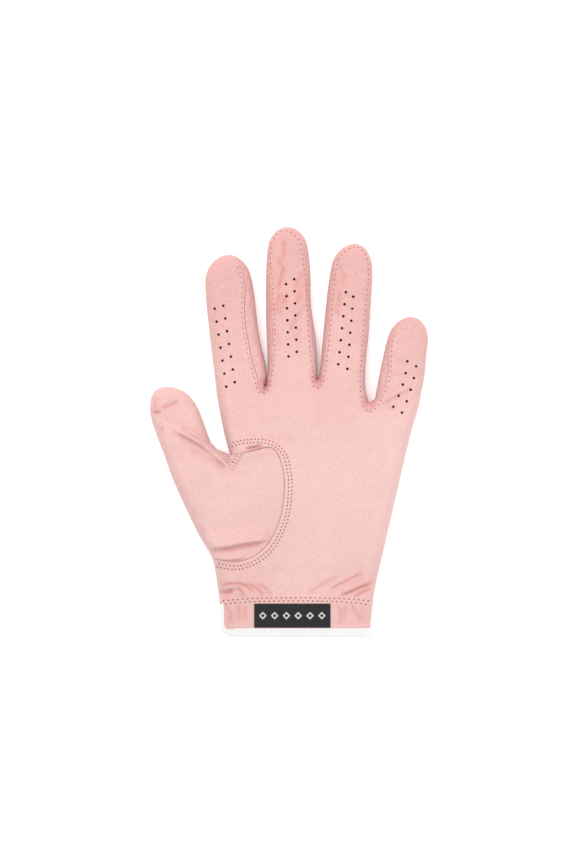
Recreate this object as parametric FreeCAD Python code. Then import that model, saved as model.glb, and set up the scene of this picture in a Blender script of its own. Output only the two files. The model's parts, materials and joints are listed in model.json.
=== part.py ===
import FreeCAD, Part
import math
import os

# A left-hand golf glove lying on its back, palm up and fingers along +Y, thumb towards -X.
# Units are millimetres. The origin is under the middle of the glove, on the surface it lies on.
# Each stall (finger or thumb) is drawn in its own frame: "across" to the right, "along" towards
# the tip, both measured from the middle of the stall's base line.

# Driving dimensions
LEATHER = 0.8            # glove leather
STALL_HEIGHT = 12.0      # an empty stall, from the back leather to the palm leather
BEND_GAP = 0.3           # clearance on each side of a bend line
SEAM_LAP = 1.5           # how far a palm strip's cut edge laps over the fourchette
THUMB_LAP = 5.0          # how far the palm laps over the set-in thumb piece
HOLE_RADIUS = 0.6        # perforations
HEM_Y = -105.9           # wrist hem
KNUCKLE_Y = 27.0         # beyond the highest finger base line
FAR = 200.0              # larger than the glove, for cutting tools

BINDING_WIDTH = 4.2
BINDING_THICKNESS = 0.5
ELASTIC_WIDTH = 5.0
ELASTIC_Y = -87.5
ELASTIC_X = (-25.5, 41.0)
LABEL = (-17.5, 22.0, -101.5, -89.0)     # x low, x high, y low, y high
LABEL_THICKNESS = 0.5
SLIT_TOP_Y = -84.0       # top of the side slit at the thumb edge of the wrist
SLIT_BINDING_TOP = -88.0 # top of the tape up the slit's edge
SLIT_BINDING_X = -30.0   # the tape up the slit's edge lies left of this

TAB_HINGE = (-34.6, 1.0)                 # x and z of the closure tab's bend line
TAB_Y = (-103.5, -84.5)
TAB_TIP_X = 16.0
TAB_BOTTOM = 0.1
TAB_ROOT_Y = (-99.0, -85.0)              # the part of the wrist edge that the tab is sewn to
TAB_ROOT_X = -26.0                       # how far its root reaches in under the palm
TAB_ROOT_Z = 2.2                         # where its root meets the bend
TAB_THICKNESS = 0.9
HOOK_THICKNESS = 0.6
LOOP_THICKNESS = 0.6
LOOP_X = (-14.0, 30.0)
HOOK_START_X = -8.0
HOOK_INSET = 1.5         # from the edge of the tab to the edge of the hooks

# Height of the palm leather's outer face along the hand, and of the back leather's, as (y, z)
PALM_PROFILE = [(HEM_Y, 13.6), (-88.0, 14.0), (-62.0, 15.4), (-40.0, 15.8),
                (-18.0, 15.2), (4.0, 13.4), (18.0, STALL_HEIGHT), (KNUCKLE_Y, STALL_HEIGHT)]
BACK_PROFILE = [(HEM_Y, 2.3), (-80.0, 2.3), (-60.0, 0.0), (KNUCKLE_Y, 0.0)]
FLOOR_PROFILE = [(HEM_Y, 0.0), (KNUCKLE_Y, 0.0)]

# Stalls. rows: (along, outer left, palm strip left, palm strip right, outer right).
# A strip edge that meets the outer edge is folded leather; one that stops short laps a fourchette.
# holes: columns of perforations as (first, last, sideways bow, count), first and last (across, along).
STALLS = {
    "index": {
        "base": (-24.4, 19.8), "lean": -6.5, "bend": 35.5,
        "tip": (0.8, 72.2), "strip_tip": (0.8, 71.7),
        "rows": [(0, -12.5, -12.5, 11.5, 13.2), (13, -12.6, -12.6, 8.0, 14.3),
                 (25, -12.7, -12.7, 6.7, 13.0), (42, -12.7, -12.7, 6.5, 12.6),
                 (57, -12.2, -12.2, 8.3, 12.3)],
        "sides": ("outer_fold", "fourchette"),
        "holes": [((-8.5, 45.0), (-7.1, 4.2), 0.0, 7), ((-3.9, 46.0), (-2.5, 6.0), 0.0, 7)],
    },
    "middle": {
        "base": (2.0, 25.2), "lean": 0.0, "bend": 42.9,
        "tip": (-2.4, 81.0), "strip_tip": (-4.4, 80.2),
        "rows": [(0, -12.7, -12.2, 12.3, 13.0), (12, -12.6, -10.4, 11.3, 13.1),
                 (27, -13.2, -10.0, 9.8, 11.8), (42, -13.4, -10.7, 8.8, 9.8),
                 (56, -13.4, -11.6, 8.1, 9.6), (67, -12.9, -12.3, 6.5, 8.7)],
        "sides": ("fourchette_left", "fourchette_right"),
        "holes": [((-3.0, 51.0), (-1.7, 13.6), 0.0, 7), ((1.2, 53.6), (2.5, 16.0), 0.0, 7)],
    },
    "ring": {
        "base": (27.6, 23.1), "lean": 4.5, "bend": 38.6,
        "tip": (2.2, 74.7), "strip_tip": (2.2, 74.1),
        "rows": [(0, -12.0, -10.9, 10.7, 12.6), (11, -11.6, -9.8, 10.2, 11.8),
                 (27, -11.4, -9.3, 10.2, 12.1), (42, -11.2, -9.1, 10.3, 12.0),
                 (59, -10.3, -8.8, 10.8, 11.6)],
        "sides": ("fourchette_left", "fourchette_right"),
        "holes": [((-1.5, 49.0), (-2.5, 11.5), 0.0, 7), ((2.5, 47.0), (2.4, 9.5), 0.0, 7)],
    },
    "little": {
        "base": (56.4, 14.4), "lean": 12.5, "bend": 24.5,
        "tip": (-0.5, 45.8), "strip_tip": (-0.5, 45.4),
        "rows": [(0, -11.5, -10.0, 11.5, 11.5), (8, -11.9, -8.0, 11.3, 11.3),
                 (18, -12.1, -8.3, 10.9, 10.9), (31, -12.0, -10.3, 9.3, 9.3)],
        "sides": ("fourchette", "outer_fold"),
        "holes": [((0.5, 22.5), (-1.5, -2.0), 1.3, 5), ((5.5, 21.0), (3.5, -4.0), 0.9, 5)],
    },
    "thumb": {
        "base": (-51.7, -10.1), "lean": -20.5, "bend": 15.0,
        "tip": (-3.0, 35.8), "strip_tip": (-3.0, 35.8),
        "rows": [(0, -12.5, -12.5, 12.5, 12.5), (9, -12.5, -12.5, 12.5, 12.5),
                 (18, -12.5, -12.5, 12.5, 12.5)],
        "sides": ("outer_fold", "seam_side"),
        "holes": [],
    },
}

# Edges of the hand, as (x, y)
CROTCH_RING_LITTLE = (41.2, 12.6)
THUMB_CROTCH = (-30.0, -12.0)
INDEX_EDGE = [(-33.0, -1.5), (-35.0, 8.5)]                     # up from the thumb crotch
WEB_EDGE = [(-37.0, -9.0)]                                     # thumb base to the thumb crotch
LITTLE_EDGE = [(64.0, 0.5), (44.0, -85.5), (42.8, HEM_Y)]      # down the little finger side
HEM_CORNER = [(-29.0, HEM_Y), (-33.5, -103.6), (-35.0, -99.0)]
WRIST_EDGE = [(-35.0, -87.5), (-37.0, -73.0), (-38.5, -66.0)]  # up the thumb side of the wrist
THUMB_EDGE = [(-42.0, -60.5), (-47.0, -52.5), (-55.0, -35.5), (-60.5, -23.0)]
# Cut edge of the palm round the set-in thumb, from the thumb crotch to the wrist
THUMB_HOLE = [THUMB_CROTCH, (-22.5, -10.6), (-8.6, -8.2), (-3.0, -17.0), (-1.7, -29.0),
              (-4.2, -46.0), (-12.0, -60.3), (-24.3, -67.2), (-38.5, -66.0)]
THUMB_LAP_START = (-31.4, -7.0)          # where the thumb piece's margin leaves the index edge
THUMB_LAP_END = (-37.6, -70.3)           # and where it meets the wrist edge
KEYSTONE = [(-36.5, -9.3), THUMB_CROTCH, (-22.5, -10.6), (-28.7, -20.0)]
SLIT_CORNER_X = (-33.5, -27.0)           # right side of the slit, at its top and at the hem
STALL_MOUTH_Y = (-3.0, 1.0)              # cleared of side walls, about each stall's base line

# Windows on the hand's side walls that part them at the ends of the real pieces
INDEX_SIDE = [(-34.4, -7.0), (-29.0, -7.0), (-29.0, 22.0), (-40.0, 22.0), (-40.0, 0.0)]
WEB_SIDE = [(-44.0, -13.0), (-28.0, -13.0), (-28.0, -7.0), (-34.4, -7.0), (-37.0, -5.0), (-44.0, -5.0)]
THUMB_BASE_SIDE = [(-70.0, -67.0), (-38.6, -67.0), (-38.6, -13.0), (-70.0, -13.0)]
WRIST_SIDE = [(-39.5, SLIT_TOP_Y), (-33.0, SLIT_TOP_Y), (-33.0, -67.0), (-39.5, -67.0)]
LITTLE_SIDE = [(42.0, HEM_Y + 5.0), (70.0, HEM_Y + 5.0), (70.0, 11.0), (42.0, 11.0)]
CROTCH_SIDES = [
    [(-14.0, 18.0), (-8.0, 18.0), (-8.0, 27.0), (-14.0, 27.0)],
    [(12.0, 18.0), (18.5, 18.0), (18.5, 27.0), (12.0, 27.0)],
    [(37.0, 10.0), (47.5, 10.0), (47.5, 24.0), (37.0, 24.0)],
]


def to_hand(stall, across, along):
    """A stall's own (across, along) as the hand's (x, y)."""
    lean = math.radians(stall["lean"])
    x = stall["base"][0] + across * math.cos(lean) + along * math.sin(lean)
    y = stall["base"][1] - across * math.sin(lean) + along * math.cos(lean)
    return (x, y)


def place(stall, shape):
    """Moves a shape drawn in a stall's frame to its place on the hand."""
    base = FreeCAD.Vector(stall["base"][0], stall["base"][1], 0)
    turn = FreeCAD.Rotation(FreeCAD.Vector(0, 0, 1), -stall["lean"])
    placed = shape.copy()
    placed.Placement = FreeCAD.Placement(base, turn)
    return placed


def box(x0, x1, y0, y1, z0, z1):
    return Part.makeBox(x1 - x0, y1 - y0, z1 - z0, FreeCAD.Vector(x0, y0, z0))


def flat_face(points):
    """Flat face at z = 0 inside a closed run of straight edges."""
    corners = [FreeCAD.Vector(x, y, 0) for x, y in points]
    return Part.Face(Part.makePolygon(corners + corners[:1]))


def raise_face(face, z0, z1):
    lifted = face.copy()
    lifted.translate(FreeCAD.Vector(0, 0, z0))
    return lifted.extrude(FreeCAD.Vector(0, 0, z1 - z0))


def slab(low_profile, low_shift, high_profile, high_shift):
    """Solid across the whole glove between two (y, z) profiles, each shifted in z."""
    low = [FreeCAD.Vector(-FAR, y, z + low_shift) for y, z in low_profile]
    high = [FreeCAD.Vector(-FAR, y, z + high_shift) for y, z in high_profile]
    outline = Part.makePolygon(low + high[::-1] + low[:1])
    return Part.Face(outline).extrude(FreeCAD.Vector(2 * FAR, 0, 0))


def palm_layer(outer, inner):
    """Layer of the palm: outer and inner are depths from the palm leather's outer face."""
    return slab(PALM_PROFILE, -inner, PALM_PROFILE, -outer)


def back_layer(outer, inner):
    """Layer of the back: outer and inner are heights from the back leather's outer face."""
    return slab(BACK_PROFILE, outer, BACK_PROFILE, inner)


# Stalls

def tip_points(start, tip, side, steps=4):
    """Quarter ellipse from a side at (side, start) round to the tip."""
    points = []
    for step in range(steps):
        angle = math.radians(90.0 * step / steps)
        across = tip[0] + (side - tip[0]) * math.cos(angle)
        along = start + (tip[1] - start) * math.sin(angle)
        points.append((across, along))
    return points


def stall_face(rows, tip, left_column, right_column, inset=0.0):
    """Stall outline from two columns of the rows, closed by a rounded tip."""
    start = rows[-1][0]
    tip = (tip[0], tip[1] - inset)
    left = [(row[left_column] + inset, row[0]) for row in rows[:-1]]
    left += tip_points(start, tip, rows[-1][left_column] + inset)
    right = [(row[right_column] - inset, row[0]) for row in rows[:-1]]
    right += tip_points(start, tip, rows[-1][right_column] - inset)
    points = [FreeCAD.Vector(x, y, 0) for x, y in left + [tip] + right[::-1]]
    side = Part.BSplineCurve()
    side.interpolate(points)
    base = Part.LineSegment(points[-1], points[0])
    return Part.Face(Part.Wire([side.toShape(), base.toShape()]))


def outer_face(stall, inset=0.0):
    return stall_face(stall["rows"], stall["tip"], 1, 4, inset)


def strip_face(stall, inset=0.0):
    return stall_face(stall["rows"], stall["strip_tip"], 2, 3, inset)


def hole_places(stall):
    """Centres of a stall's perforations in its own frame."""
    places = []
    for first, last, bow, count in stall["holes"]:
        for number in range(count):
            t = number / (count - 1)
            across = first[0] + (last[0] - first[0]) * t + bow * 4 * t * (1 - t)
            along = first[1] + (last[1] - first[1]) * t
            places.append((across, along))
    return places


def hole_drills(stall):
    """The perforations as one compound of drills in the stall's frame."""
    drills = []
    for across, along in hole_places(stall):
        foot = FreeCAD.Vector(across, along, STALL_HEIGHT / 2)
        drills.append(Part.makeCylinder(HOLE_RADIUS, STALL_HEIGHT, foot))
    return Part.makeCompound(drills)


def stall_palm(stall):
    strip = raise_face(strip_face(stall), STALL_HEIGHT - LEATHER, STALL_HEIGHT)
    if stall["holes"]:
        strip = strip.cut(hole_drills(stall))
    return strip


def stall_back(stall):
    return raise_face(outer_face(stall), 0, LEATHER)


def stall_side(stall, left):
    """Side wall of a stall, with the lip that runs under a lapped palm strip."""
    outer = outer_face(stall)
    band = outer.cut(outer_face(stall, LEATHER))
    wall = raise_face(band, LEATHER, STALL_HEIGHT - LEATHER)
    lip = raise_face(outer.cut(strip_face(stall, SEAM_LAP)),
                     STALL_HEIGHT - 2 * LEATHER, STALL_HEIGHT - LEATHER)
    middle = stall["tip"][0]
    if left:
        half = box(-FAR, middle, -FAR, FAR, -FAR, FAR)
    else:
        half = box(middle, FAR, -FAR, FAR, -FAR, FAR)
    side = wall.common(half)
    column_pair = (1, 2) if left else (4, 3)
    lapped = any(row[column_pair[0]] != row[column_pair[1]] for row in stall["rows"])
    if lapped:
        side = side.fuse(lip.common(half)).removeSplitter()
    return side


def stall_segments(stall):
    """Name and along-range of the lower and upper segments."""
    end = stall["tip"][1] + 1.0
    bend = stall["bend"]
    return [("lower", BEND_GAP, bend - BEND_GAP), ("upper", bend + BEND_GAP, end)]


def stall_nodes(name, stall):
    whole = {
        "palm": stall_palm(stall),
        "back": stall_back(stall),
        stall["sides"][0]: stall_side(stall, True),
        stall["sides"][1]: stall_side(stall, False),
    }
    nodes = {}
    for segment, start, end in stall_segments(stall):
        window = box(-FAR, FAR, start, end, -FAR, FAR)
        for piece, shape in whole.items():
            nodes[f"{name}_{segment}_{piece}"] = place(stall, shape.common(window))
    return nodes


# Hand

def base_line(stall):
    """Left and right ends of a stall's base line, on the hand's side of the gap."""
    row = stall["rows"][0]
    return [to_hand(stall, row[1], -BEND_GAP), to_hand(stall, row[4], -BEND_GAP)]


def finger_line():
    """Top edge of the hand, from the index finger's side to the little finger's."""
    line = base_line(STALLS["index"]) + base_line(STALLS["middle"]) + base_line(STALLS["ring"])
    return line + [CROTCH_RING_LITTLE] + base_line(STALLS["little"])


def right_and_hem():
    return LITTLE_EDGE + HEM_CORNER


def hand_outline():
    """Outline of the whole hand, thumb base included."""
    left = WRIST_EDGE + THUMB_EDGE + base_line(STALLS["thumb"]) + WEB_EDGE
    return finger_line() + right_and_hem() + left + [THUMB_CROTCH] + INDEX_EDGE


def hole_curve(points):
    curve = Part.BSplineCurve()
    curve.interpolate([FreeCAD.Vector(x, y, 0) for x, y in points])
    return curve.toShape()


def palm_face():
    """Palm panel: the hand without the thumb hole."""
    straight = INDEX_EDGE + finger_line() + right_and_hem() + WRIST_EDGE
    edge = [FreeCAD.Vector(x, y, 0) for x, y in [THUMB_CROTCH] + straight]
    wire = Part.makePolygon(edge)
    return Part.Face(Part.Wire(wire.Edges + [hole_curve(THUMB_HOLE)]))


def lapped_thumb_edge():
    """The thumb piece's own edge, a lap outside the palm's cut edge all the way round."""
    edge = [THUMB_LAP_START]
    for before, here, after in zip(THUMB_HOLE, THUMB_HOLE[1:], THUMB_HOLE[2:]):
        run = (after[0] - before[0], after[1] - before[1])
        reach = THUMB_LAP / math.hypot(*run)
        edge.append((here[0] - run[1] * reach, here[1] + run[0] * reach))
    return edge + [THUMB_LAP_END]


def lapped_thumb_face():
    """Outline of the set-in thumb piece's palm side, its hidden margin included."""
    lap = lapped_thumb_edge()
    rest = [WRIST_EDGE[-1]] + THUMB_EDGE + base_line(STALLS["thumb"]) + WEB_EDGE + [THUMB_CROTCH]
    wire = Part.makePolygon([FreeCAD.Vector(x, y, 0) for x, y in [lap[-1]] + rest + [lap[0]]])
    return Part.Face(Part.Wire(wire.Edges + [hole_curve(lap)]))


def hem_margin():
    """Room for the binding beyond the leather, along the hem and up the slit's edge."""
    outline = flat_face(hand_outline())
    ring = raise_face(outline.cut(outline.makeOffset2D(-BINDING_THICKNESS)), -FAR, FAR)
    return ring.common(bound_edge())


def bound_edge():
    """Region of the wrist whose edge is bound with tape."""
    hem = box(-FAR, FAR, -FAR, HEM_Y + BINDING_WIDTH, -FAR, FAR)
    return hem.fuse(box(-FAR, SLIT_BINDING_X, -FAR, SLIT_BINDING_TOP, -FAR, FAR))


def palm_panel():
    panel = raise_face(palm_face(), -FAR, FAR).common(palm_layer(0, LEATHER))
    little = STALLS["little"]
    return panel.cut(place(little, hole_drills(little))).cut(hem_margin())


def slit_cutter():
    """Corner of the back panel that the side slit opens."""
    below = HEM_Y - 1.0
    right = [(SLIT_CORNER_X[0], SLIT_TOP_Y), (SLIT_CORNER_X[1], below)]
    corner = [(-FAR, SLIT_TOP_Y)] + right + [(-FAR, below)]
    return raise_face(flat_face(corner), -FAR, FAR)


def back_divide():
    """Back of the set-in thumb: left of the seam from the thumb crotch to the wrist."""
    seam = [THUMB_CROTCH, (-28.5, -28.0), (-31.0, -48.0), (-38.5, -66.0)]
    rest = THUMB_EDGE + base_line(STALLS["thumb"]) + WEB_EDGE
    return raise_face(flat_face(seam + rest), -FAR, FAR)


def back_panel():
    whole = raise_face(flat_face(hand_outline()), -FAR, FAR)
    sheet = whole.common(back_layer(0, LEATHER))
    return sheet.cut(back_divide()).cut(slit_cutter()).cut(hem_margin())


def thumb_base_back():
    whole = raise_face(flat_face(hand_outline()), -FAR, FAR)
    return whole.common(back_layer(0, LEATHER)).common(back_divide())


def thumb_base_palm():
    region = raise_face(lapped_thumb_face(), -FAR, FAR)
    return region.common(palm_layer(LEATHER, 2 * LEATHER))


def keystone_patch(panel):
    patch = raise_face(flat_face(KEYSTONE), -FAR, FAR).common(palm_layer(0, LEATHER))
    return patch.cut(panel)


def stall_mouth(stall):
    """Opening from the hand into a stall."""
    row = stall["rows"][0]
    return place(stall, box(row[1] + LEATHER, row[4] - LEATHER, *STALL_MOUTH_Y, -FAR, FAR))


def hand_walls(top_depth):
    """Every side wall of the hand, up to a depth below the palm's outer face."""
    outline = flat_face(hand_outline())
    ring = outline.cut(outline.makeOffset2D(-LEATHER))
    between = slab(BACK_PROFILE, LEATHER, PALM_PROFILE, -top_depth)
    walls = raise_face(ring, -FAR, FAR).common(between)
    for stall in STALLS.values():
        walls = walls.cut(stall_mouth(stall))
    return walls


def part_of(walls, corners):
    return walls.common(raise_face(flat_face(corners), -FAR, FAR))


def hand_wall_nodes(thumb_palm):
    """The walls parted at the ends of the real pieces, clear of the thumb piece's margin."""
    leather = hand_walls(LEATHER)
    under_thumb = hand_walls(2 * LEATHER)
    return {
        "index_side_fold": part_of(leather, INDEX_SIDE).cut(thumb_palm),
        "thumb_web_fold": part_of(under_thumb, WEB_SIDE),
        "thumb_base_side": part_of(under_thumb, THUMB_BASE_SIDE),
        "wrist_thumb_side_fold": part_of(leather, WRIST_SIDE).cut(thumb_palm),
        "little_side_fold": part_of(leather, LITTLE_SIDE),
        "fourchette_crotches": Part.makeCompound([part_of(leather, c) for c in CROTCH_SIDES]),
    }


# Wrist

def wrist_elastic():
    low = ELASTIC_Y - ELASTIC_WIDTH / 2
    window = box(*ELASTIC_X, low, low + ELASTIC_WIDTH, -FAR, FAR)
    return window.common(palm_layer(LEATHER, 2 * LEATHER))


def wrist_label():
    x0, x1, y0, y1 = LABEL
    return box(x0, x1, y0, y1, -FAR, FAR).common(palm_layer(-LABEL_THICKNESS, 0))


def binding_strip(layer, sheet):
    """Tape folded over the edge of one leather layer, along the hem and up the slit."""
    outline = flat_face(hand_outline())
    ring = raise_face(outline.cut(outline.makeOffset2D(-BINDING_WIDTH)), -FAR, FAR)
    return ring.common(bound_edge()).common(layer).cut(sheet)


def palm_binding(panel):
    layer = palm_layer(-BINDING_THICKNESS, LEATHER + BINDING_THICKNESS)
    return binding_strip(layer, panel)


def back_binding(panel):
    layer = back_layer(-BINDING_THICKNESS, LEATHER + BINDING_THICKNESS)
    hem = box(-FAR, FAR, -FAR, HEM_Y + BINDING_WIDTH, -FAR, FAR)
    return binding_strip(layer, panel).common(hem).cut(slit_cutter())


# Closure tab, wrapped from the thumb edge of the palm to the back of the wrist

def tab_outline(inset):
    """Tab from its bend line to a half-round free end."""
    low, high = TAB_Y[0] + inset, TAB_Y[1] - inset
    middle, radius = (low + high) / 2, (high - low) / 2
    start, straight = TAB_HINGE[0] + BEND_GAP, TAB_TIP_X - inset - radius
    top = Part.LineSegment(FreeCAD.Vector(start, high, 0), FreeCAD.Vector(straight, high, 0))
    bottom = Part.LineSegment(FreeCAD.Vector(straight, low, 0), FreeCAD.Vector(start, low, 0))
    root = Part.LineSegment(FreeCAD.Vector(start, low, 0), FreeCAD.Vector(start, high, 0))
    tip = Part.Arc(FreeCAD.Vector(straight, high, 0), FreeCAD.Vector(straight + radius, middle, 0),
                   FreeCAD.Vector(straight, low, 0))
    edges = [curve.toShape() for curve in (top, tip, bottom, root)]
    return Part.Face(Part.Wire(edges))


def closure_tab():
    """Outer leather of the tab, the face that is seen when it is closed."""
    return raise_face(tab_outline(0), TAB_BOTTOM, TAB_BOTTOM + TAB_THICKNESS / 2)


def tab_lining():
    start = TAB_BOTTOM + TAB_THICKNESS / 2
    return raise_face(tab_outline(0), start, TAB_BOTTOM + TAB_THICKNESS)


def hook_patch():
    start = TAB_BOTTOM + TAB_THICKNESS
    patch = raise_face(tab_outline(HOOK_INSET), start, start + HOOK_THICKNESS)
    return patch.common(box(HOOK_START_X, FAR, -FAR, FAR, -FAR, FAR))


def loop_patch():
    """Soft half of the closure, sewn to the back of the wrist above the hooks."""
    top = BACK_PROFILE[0][1]
    low = HEM_Y + BINDING_WIDTH + BINDING_THICKNESS
    return box(*LOOP_X, low, TAB_Y[1] - 1.0, top - LOOP_THICKNESS, top)


def tab_anchor():
    """The tab's root: down from under the palm's bound edge, past the open slit."""
    depth = LEATHER + BINDING_THICKNESS
    x = TAB_HINGE[0]
    sewn = box(x, TAB_ROOT_X, *TAB_ROOT_Y, -FAR, FAR).common(palm_layer(depth, depth + LEATHER))
    below_palm = slab(FLOOR_PROFILE, TAB_ROOT_Z, PALM_PROFILE, -depth)
    drop = box(x - LEATHER / 2, x + LEATHER / 2, *TAB_ROOT_Y, -FAR, FAR).common(below_palm)
    return drop.fuse(sewn).removeSplitter()


def hand_nodes():
    panel = palm_panel()
    back = back_panel()
    thumb_palm = thumb_base_palm()
    nodes = {
        "palm_panel": panel,
        "back_panel": back,
        "thumb_base_palm": thumb_palm,
        "thumb_base_back": thumb_base_back(),
        "keystone_patch": keystone_patch(panel),
        "wrist_elastic": wrist_elastic(),
        "wrist_label": wrist_label(),
        "palm_hem_binding": palm_binding(panel),
        "back_hem_binding": back_binding(back),
        "loop_patch": loop_patch(),
        "tab_anchor": tab_anchor(),
    }
    nodes.update(hand_wall_nodes(thumb_palm))
    return nodes


def tab_nodes():
    return {"closure_tab": closure_tab(), "tab_lining": tab_lining(), "hook_patch": hook_patch()}


def main():
    os.makedirs("parts", exist_ok=True)
    nodes = hand_nodes()
    for name, stall in STALLS.items():
        nodes.update(stall_nodes(name, stall))
    nodes.update(tab_nodes())
    for name, shape in nodes.items():
        shape.exportStep(f"parts/{name}.step")
        limits = shape.BoundBox
        print(name, len(shape.Solids), "solids", round(shape.Volume, 1), "mm3",
              [round(v, 1) for v in (limits.XMin, limits.XMax, limits.YMin, limits.YMax,
                                     limits.ZMin, limits.ZMax)])


main()
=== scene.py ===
import bpy
import json
import math
import numpy as np
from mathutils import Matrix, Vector
from mathutils.geometry import delaunay_2d_cdt
from mathutils.kdtree import KDTree
from mathutils.noise import noise as noise_at


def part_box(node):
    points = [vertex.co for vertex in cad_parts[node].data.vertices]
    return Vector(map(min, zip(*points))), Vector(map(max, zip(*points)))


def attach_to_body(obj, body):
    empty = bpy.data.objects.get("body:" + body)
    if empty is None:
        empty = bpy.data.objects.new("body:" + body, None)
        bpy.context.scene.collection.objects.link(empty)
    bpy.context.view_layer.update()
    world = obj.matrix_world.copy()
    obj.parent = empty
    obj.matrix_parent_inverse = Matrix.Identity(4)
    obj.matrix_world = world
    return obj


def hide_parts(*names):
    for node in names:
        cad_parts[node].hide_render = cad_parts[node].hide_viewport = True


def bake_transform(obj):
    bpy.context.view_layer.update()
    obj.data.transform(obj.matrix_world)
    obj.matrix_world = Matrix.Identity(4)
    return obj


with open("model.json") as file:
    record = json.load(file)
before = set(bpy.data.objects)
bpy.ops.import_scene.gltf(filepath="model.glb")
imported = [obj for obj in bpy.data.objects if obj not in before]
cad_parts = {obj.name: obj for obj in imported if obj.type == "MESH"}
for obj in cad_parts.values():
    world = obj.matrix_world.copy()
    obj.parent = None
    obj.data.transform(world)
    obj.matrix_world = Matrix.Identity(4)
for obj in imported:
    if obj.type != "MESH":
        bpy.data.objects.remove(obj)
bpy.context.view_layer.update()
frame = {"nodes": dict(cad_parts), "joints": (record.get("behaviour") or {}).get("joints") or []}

# The glove lies palm up, fingers along +Y. Everything below is in millimetres until a mesh is made.
# A "sheet" is the whole palm side or back side of the glove. Each is triangulated once and then
# parted along its seams and bend lines, so that neighbouring pieces always meet.
MM = 0.001

# Surface
GRID = 0.8                     # spacing of the mesh in the open
EDGE_RINGS = (0.12, 0.45, 1.0, 1.7, 2.6, 3.7, 4.9)   # rows of points inside the silhouette
OUTLINE_STEP = 0.7
LEATHER = 0.6
LAP = 0.55                     # how far a lapped cut edge stands above the leather under it
BACK_LAP = 0.165               # the same on the back
LAP_SLOPE = 2.5                # distance from the silhouette over which a lap is reached
PALM_ROUNDING = 5.5            # width of the rounded edge on the palm side
BACK_ROUNDING = 5.0
TIP_TAPER = 2.2                # how much lower a stall is at its tip
# The palm's height gives way to the thumb's: (start along the thumb, length it takes), and
# (how far across the thumb it reaches, width over which it fades out)
THUMB_BLEND = (-16.0, 18.0)
THUMB_SPREAD = (20.0, 6.0)
UNEVENNESS = [(17, 3.0, 0.35), (6, 9.0, 0.1)]          # (size, place in the noise, height)
EDGE_LEVEL = 0.42              # height of the silhouette as a share of the palm's height
HOLE_RADIUS = 0.72
RAW_EDGE = 0.42                # how far a raw cut edge slopes out
FULL_CREASE_SHADE = 0.16             # curvature, per millimetre, at which the painted shade in a crease is full
CREASE_SHADE_BLUR = 3                # rounds of smoothing of the painted crease shade
EDGE_UNSHADED = 2.5               # width along the silhouette where hollows add no painted shade
CROTCH_SHADE = 4.0             # how far painted shade spreads from the foot of each gap
BEND_LENGTH = 12.0             # length of the span of a bend that attach works out; nothing uses it
LOWER_BEND_START = 3.5         # where a finger's bend span starts, beyond the feet of the gaps; attach works it out but nothing uses it

# Stitches
FINGER_PITCH = 2.65
THUMB_PITCH = 1.9
WRIST_PITCH = 2.5
KEYSTONE_PITCH = 1.7
THUMB_MARK, WRIST_MARK, KEYSTONE_MARK = 0.36, 0.38, 0.28       # radii of the larger needle marks, dark capsules of painted shade in the needle holes
THREAD_RADIUS = 0.15
NEEDLE_RADIUS = 0.32
SEAM_INSET = 1.2               # from a cut edge in to its stitches

STALLS = ("index", "middle", "ring", "little", "thumb")
STALL_MARGIN = 0.3             # how far past its outline a stall still owns the leather
STATION = 3.0                  # spacing at which the heights of the CAD sheets are read

# Places on the hand, (x, y)
CROTCHES = {"index": (-11.6, 23.9), "middle": (15.4, 26.6), "ring": (41.9, 14.9)}
# How far up its left and right side each stall's outline starts, so that it ends at the crotches
SIDE_STARTS = {"index": (0.0, 6.0), "middle": (0.5, 3.0), "ring": (4.5, 0.0)}
THUMB_CROTCH = (-30.0, -12.0)
WEB = (-37.0, -9.0)
SLIT_TOP = -84.0
SLIT_EDGE_X = (-27.0, -34.0)   # right side of the slit, at the hem and at its top
THUMB_HOLE = [THUMB_CROTCH, (-22.5, -10.6), (-8.6, -8.2), (-3.0, -17.0), (-1.7, -29.0),
              (-4.2, -46.0), (-12.0, -60.3), (-24.3, -67.2), (-38.5, -66.0)]
KEYSTONE = [WEB, (-28.7, -20.0), (-22.5, -10.6)]
# Where the silhouette is read off the CAD: (first y, last y, number of readings)
INDEX_EDGE = (17.0, -10.5, 8)
THUMB_EDGE = (-17.0, -65.0, 12)
WRIST_EDGE = (-70.0, -99.0, 8)
BINDING_ROOM = 0.5             # how far outside the palm panel the wrist's silhouette runs
HEM_CORNER = [(0.5, 4.0), (2.6, 1.4), (7.5, 0.0)]      # to the right of the side, above the hem
# From the foot of the thumb, outside it and up, and back through the gap beside the index finger
AROUND_THUMB = [(-90.0, -66.0), (-90.0, 17.0), (-45.0, 17.0)]

# Perforations in each finger's own frame: columns of (first, last, sideways bow, count)
HOLES = {
    "index": [((-8.5, 45.0), (-7.1, 4.2), 0.0, 7), ((-3.9, 46.0), (-2.5, 6.0), 0.0, 7)],
    "middle": [((-3.0, 51.0), (-1.7, 13.6), 0.0, 7), ((1.2, 53.6), (2.5, 16.0), 0.0, 7)],
    "ring": [((-1.5, 49.0), (-2.5, 11.5), 0.0, 7), ((2.5, 47.0), (2.4, 9.5), 0.0, 7)],
    "little": [((0.5, 22.5), (-1.5, -2.0), 1.3, 5), ((5.5, 21.0), (3.5, -4.0), 0.9, 5)],
}

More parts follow.
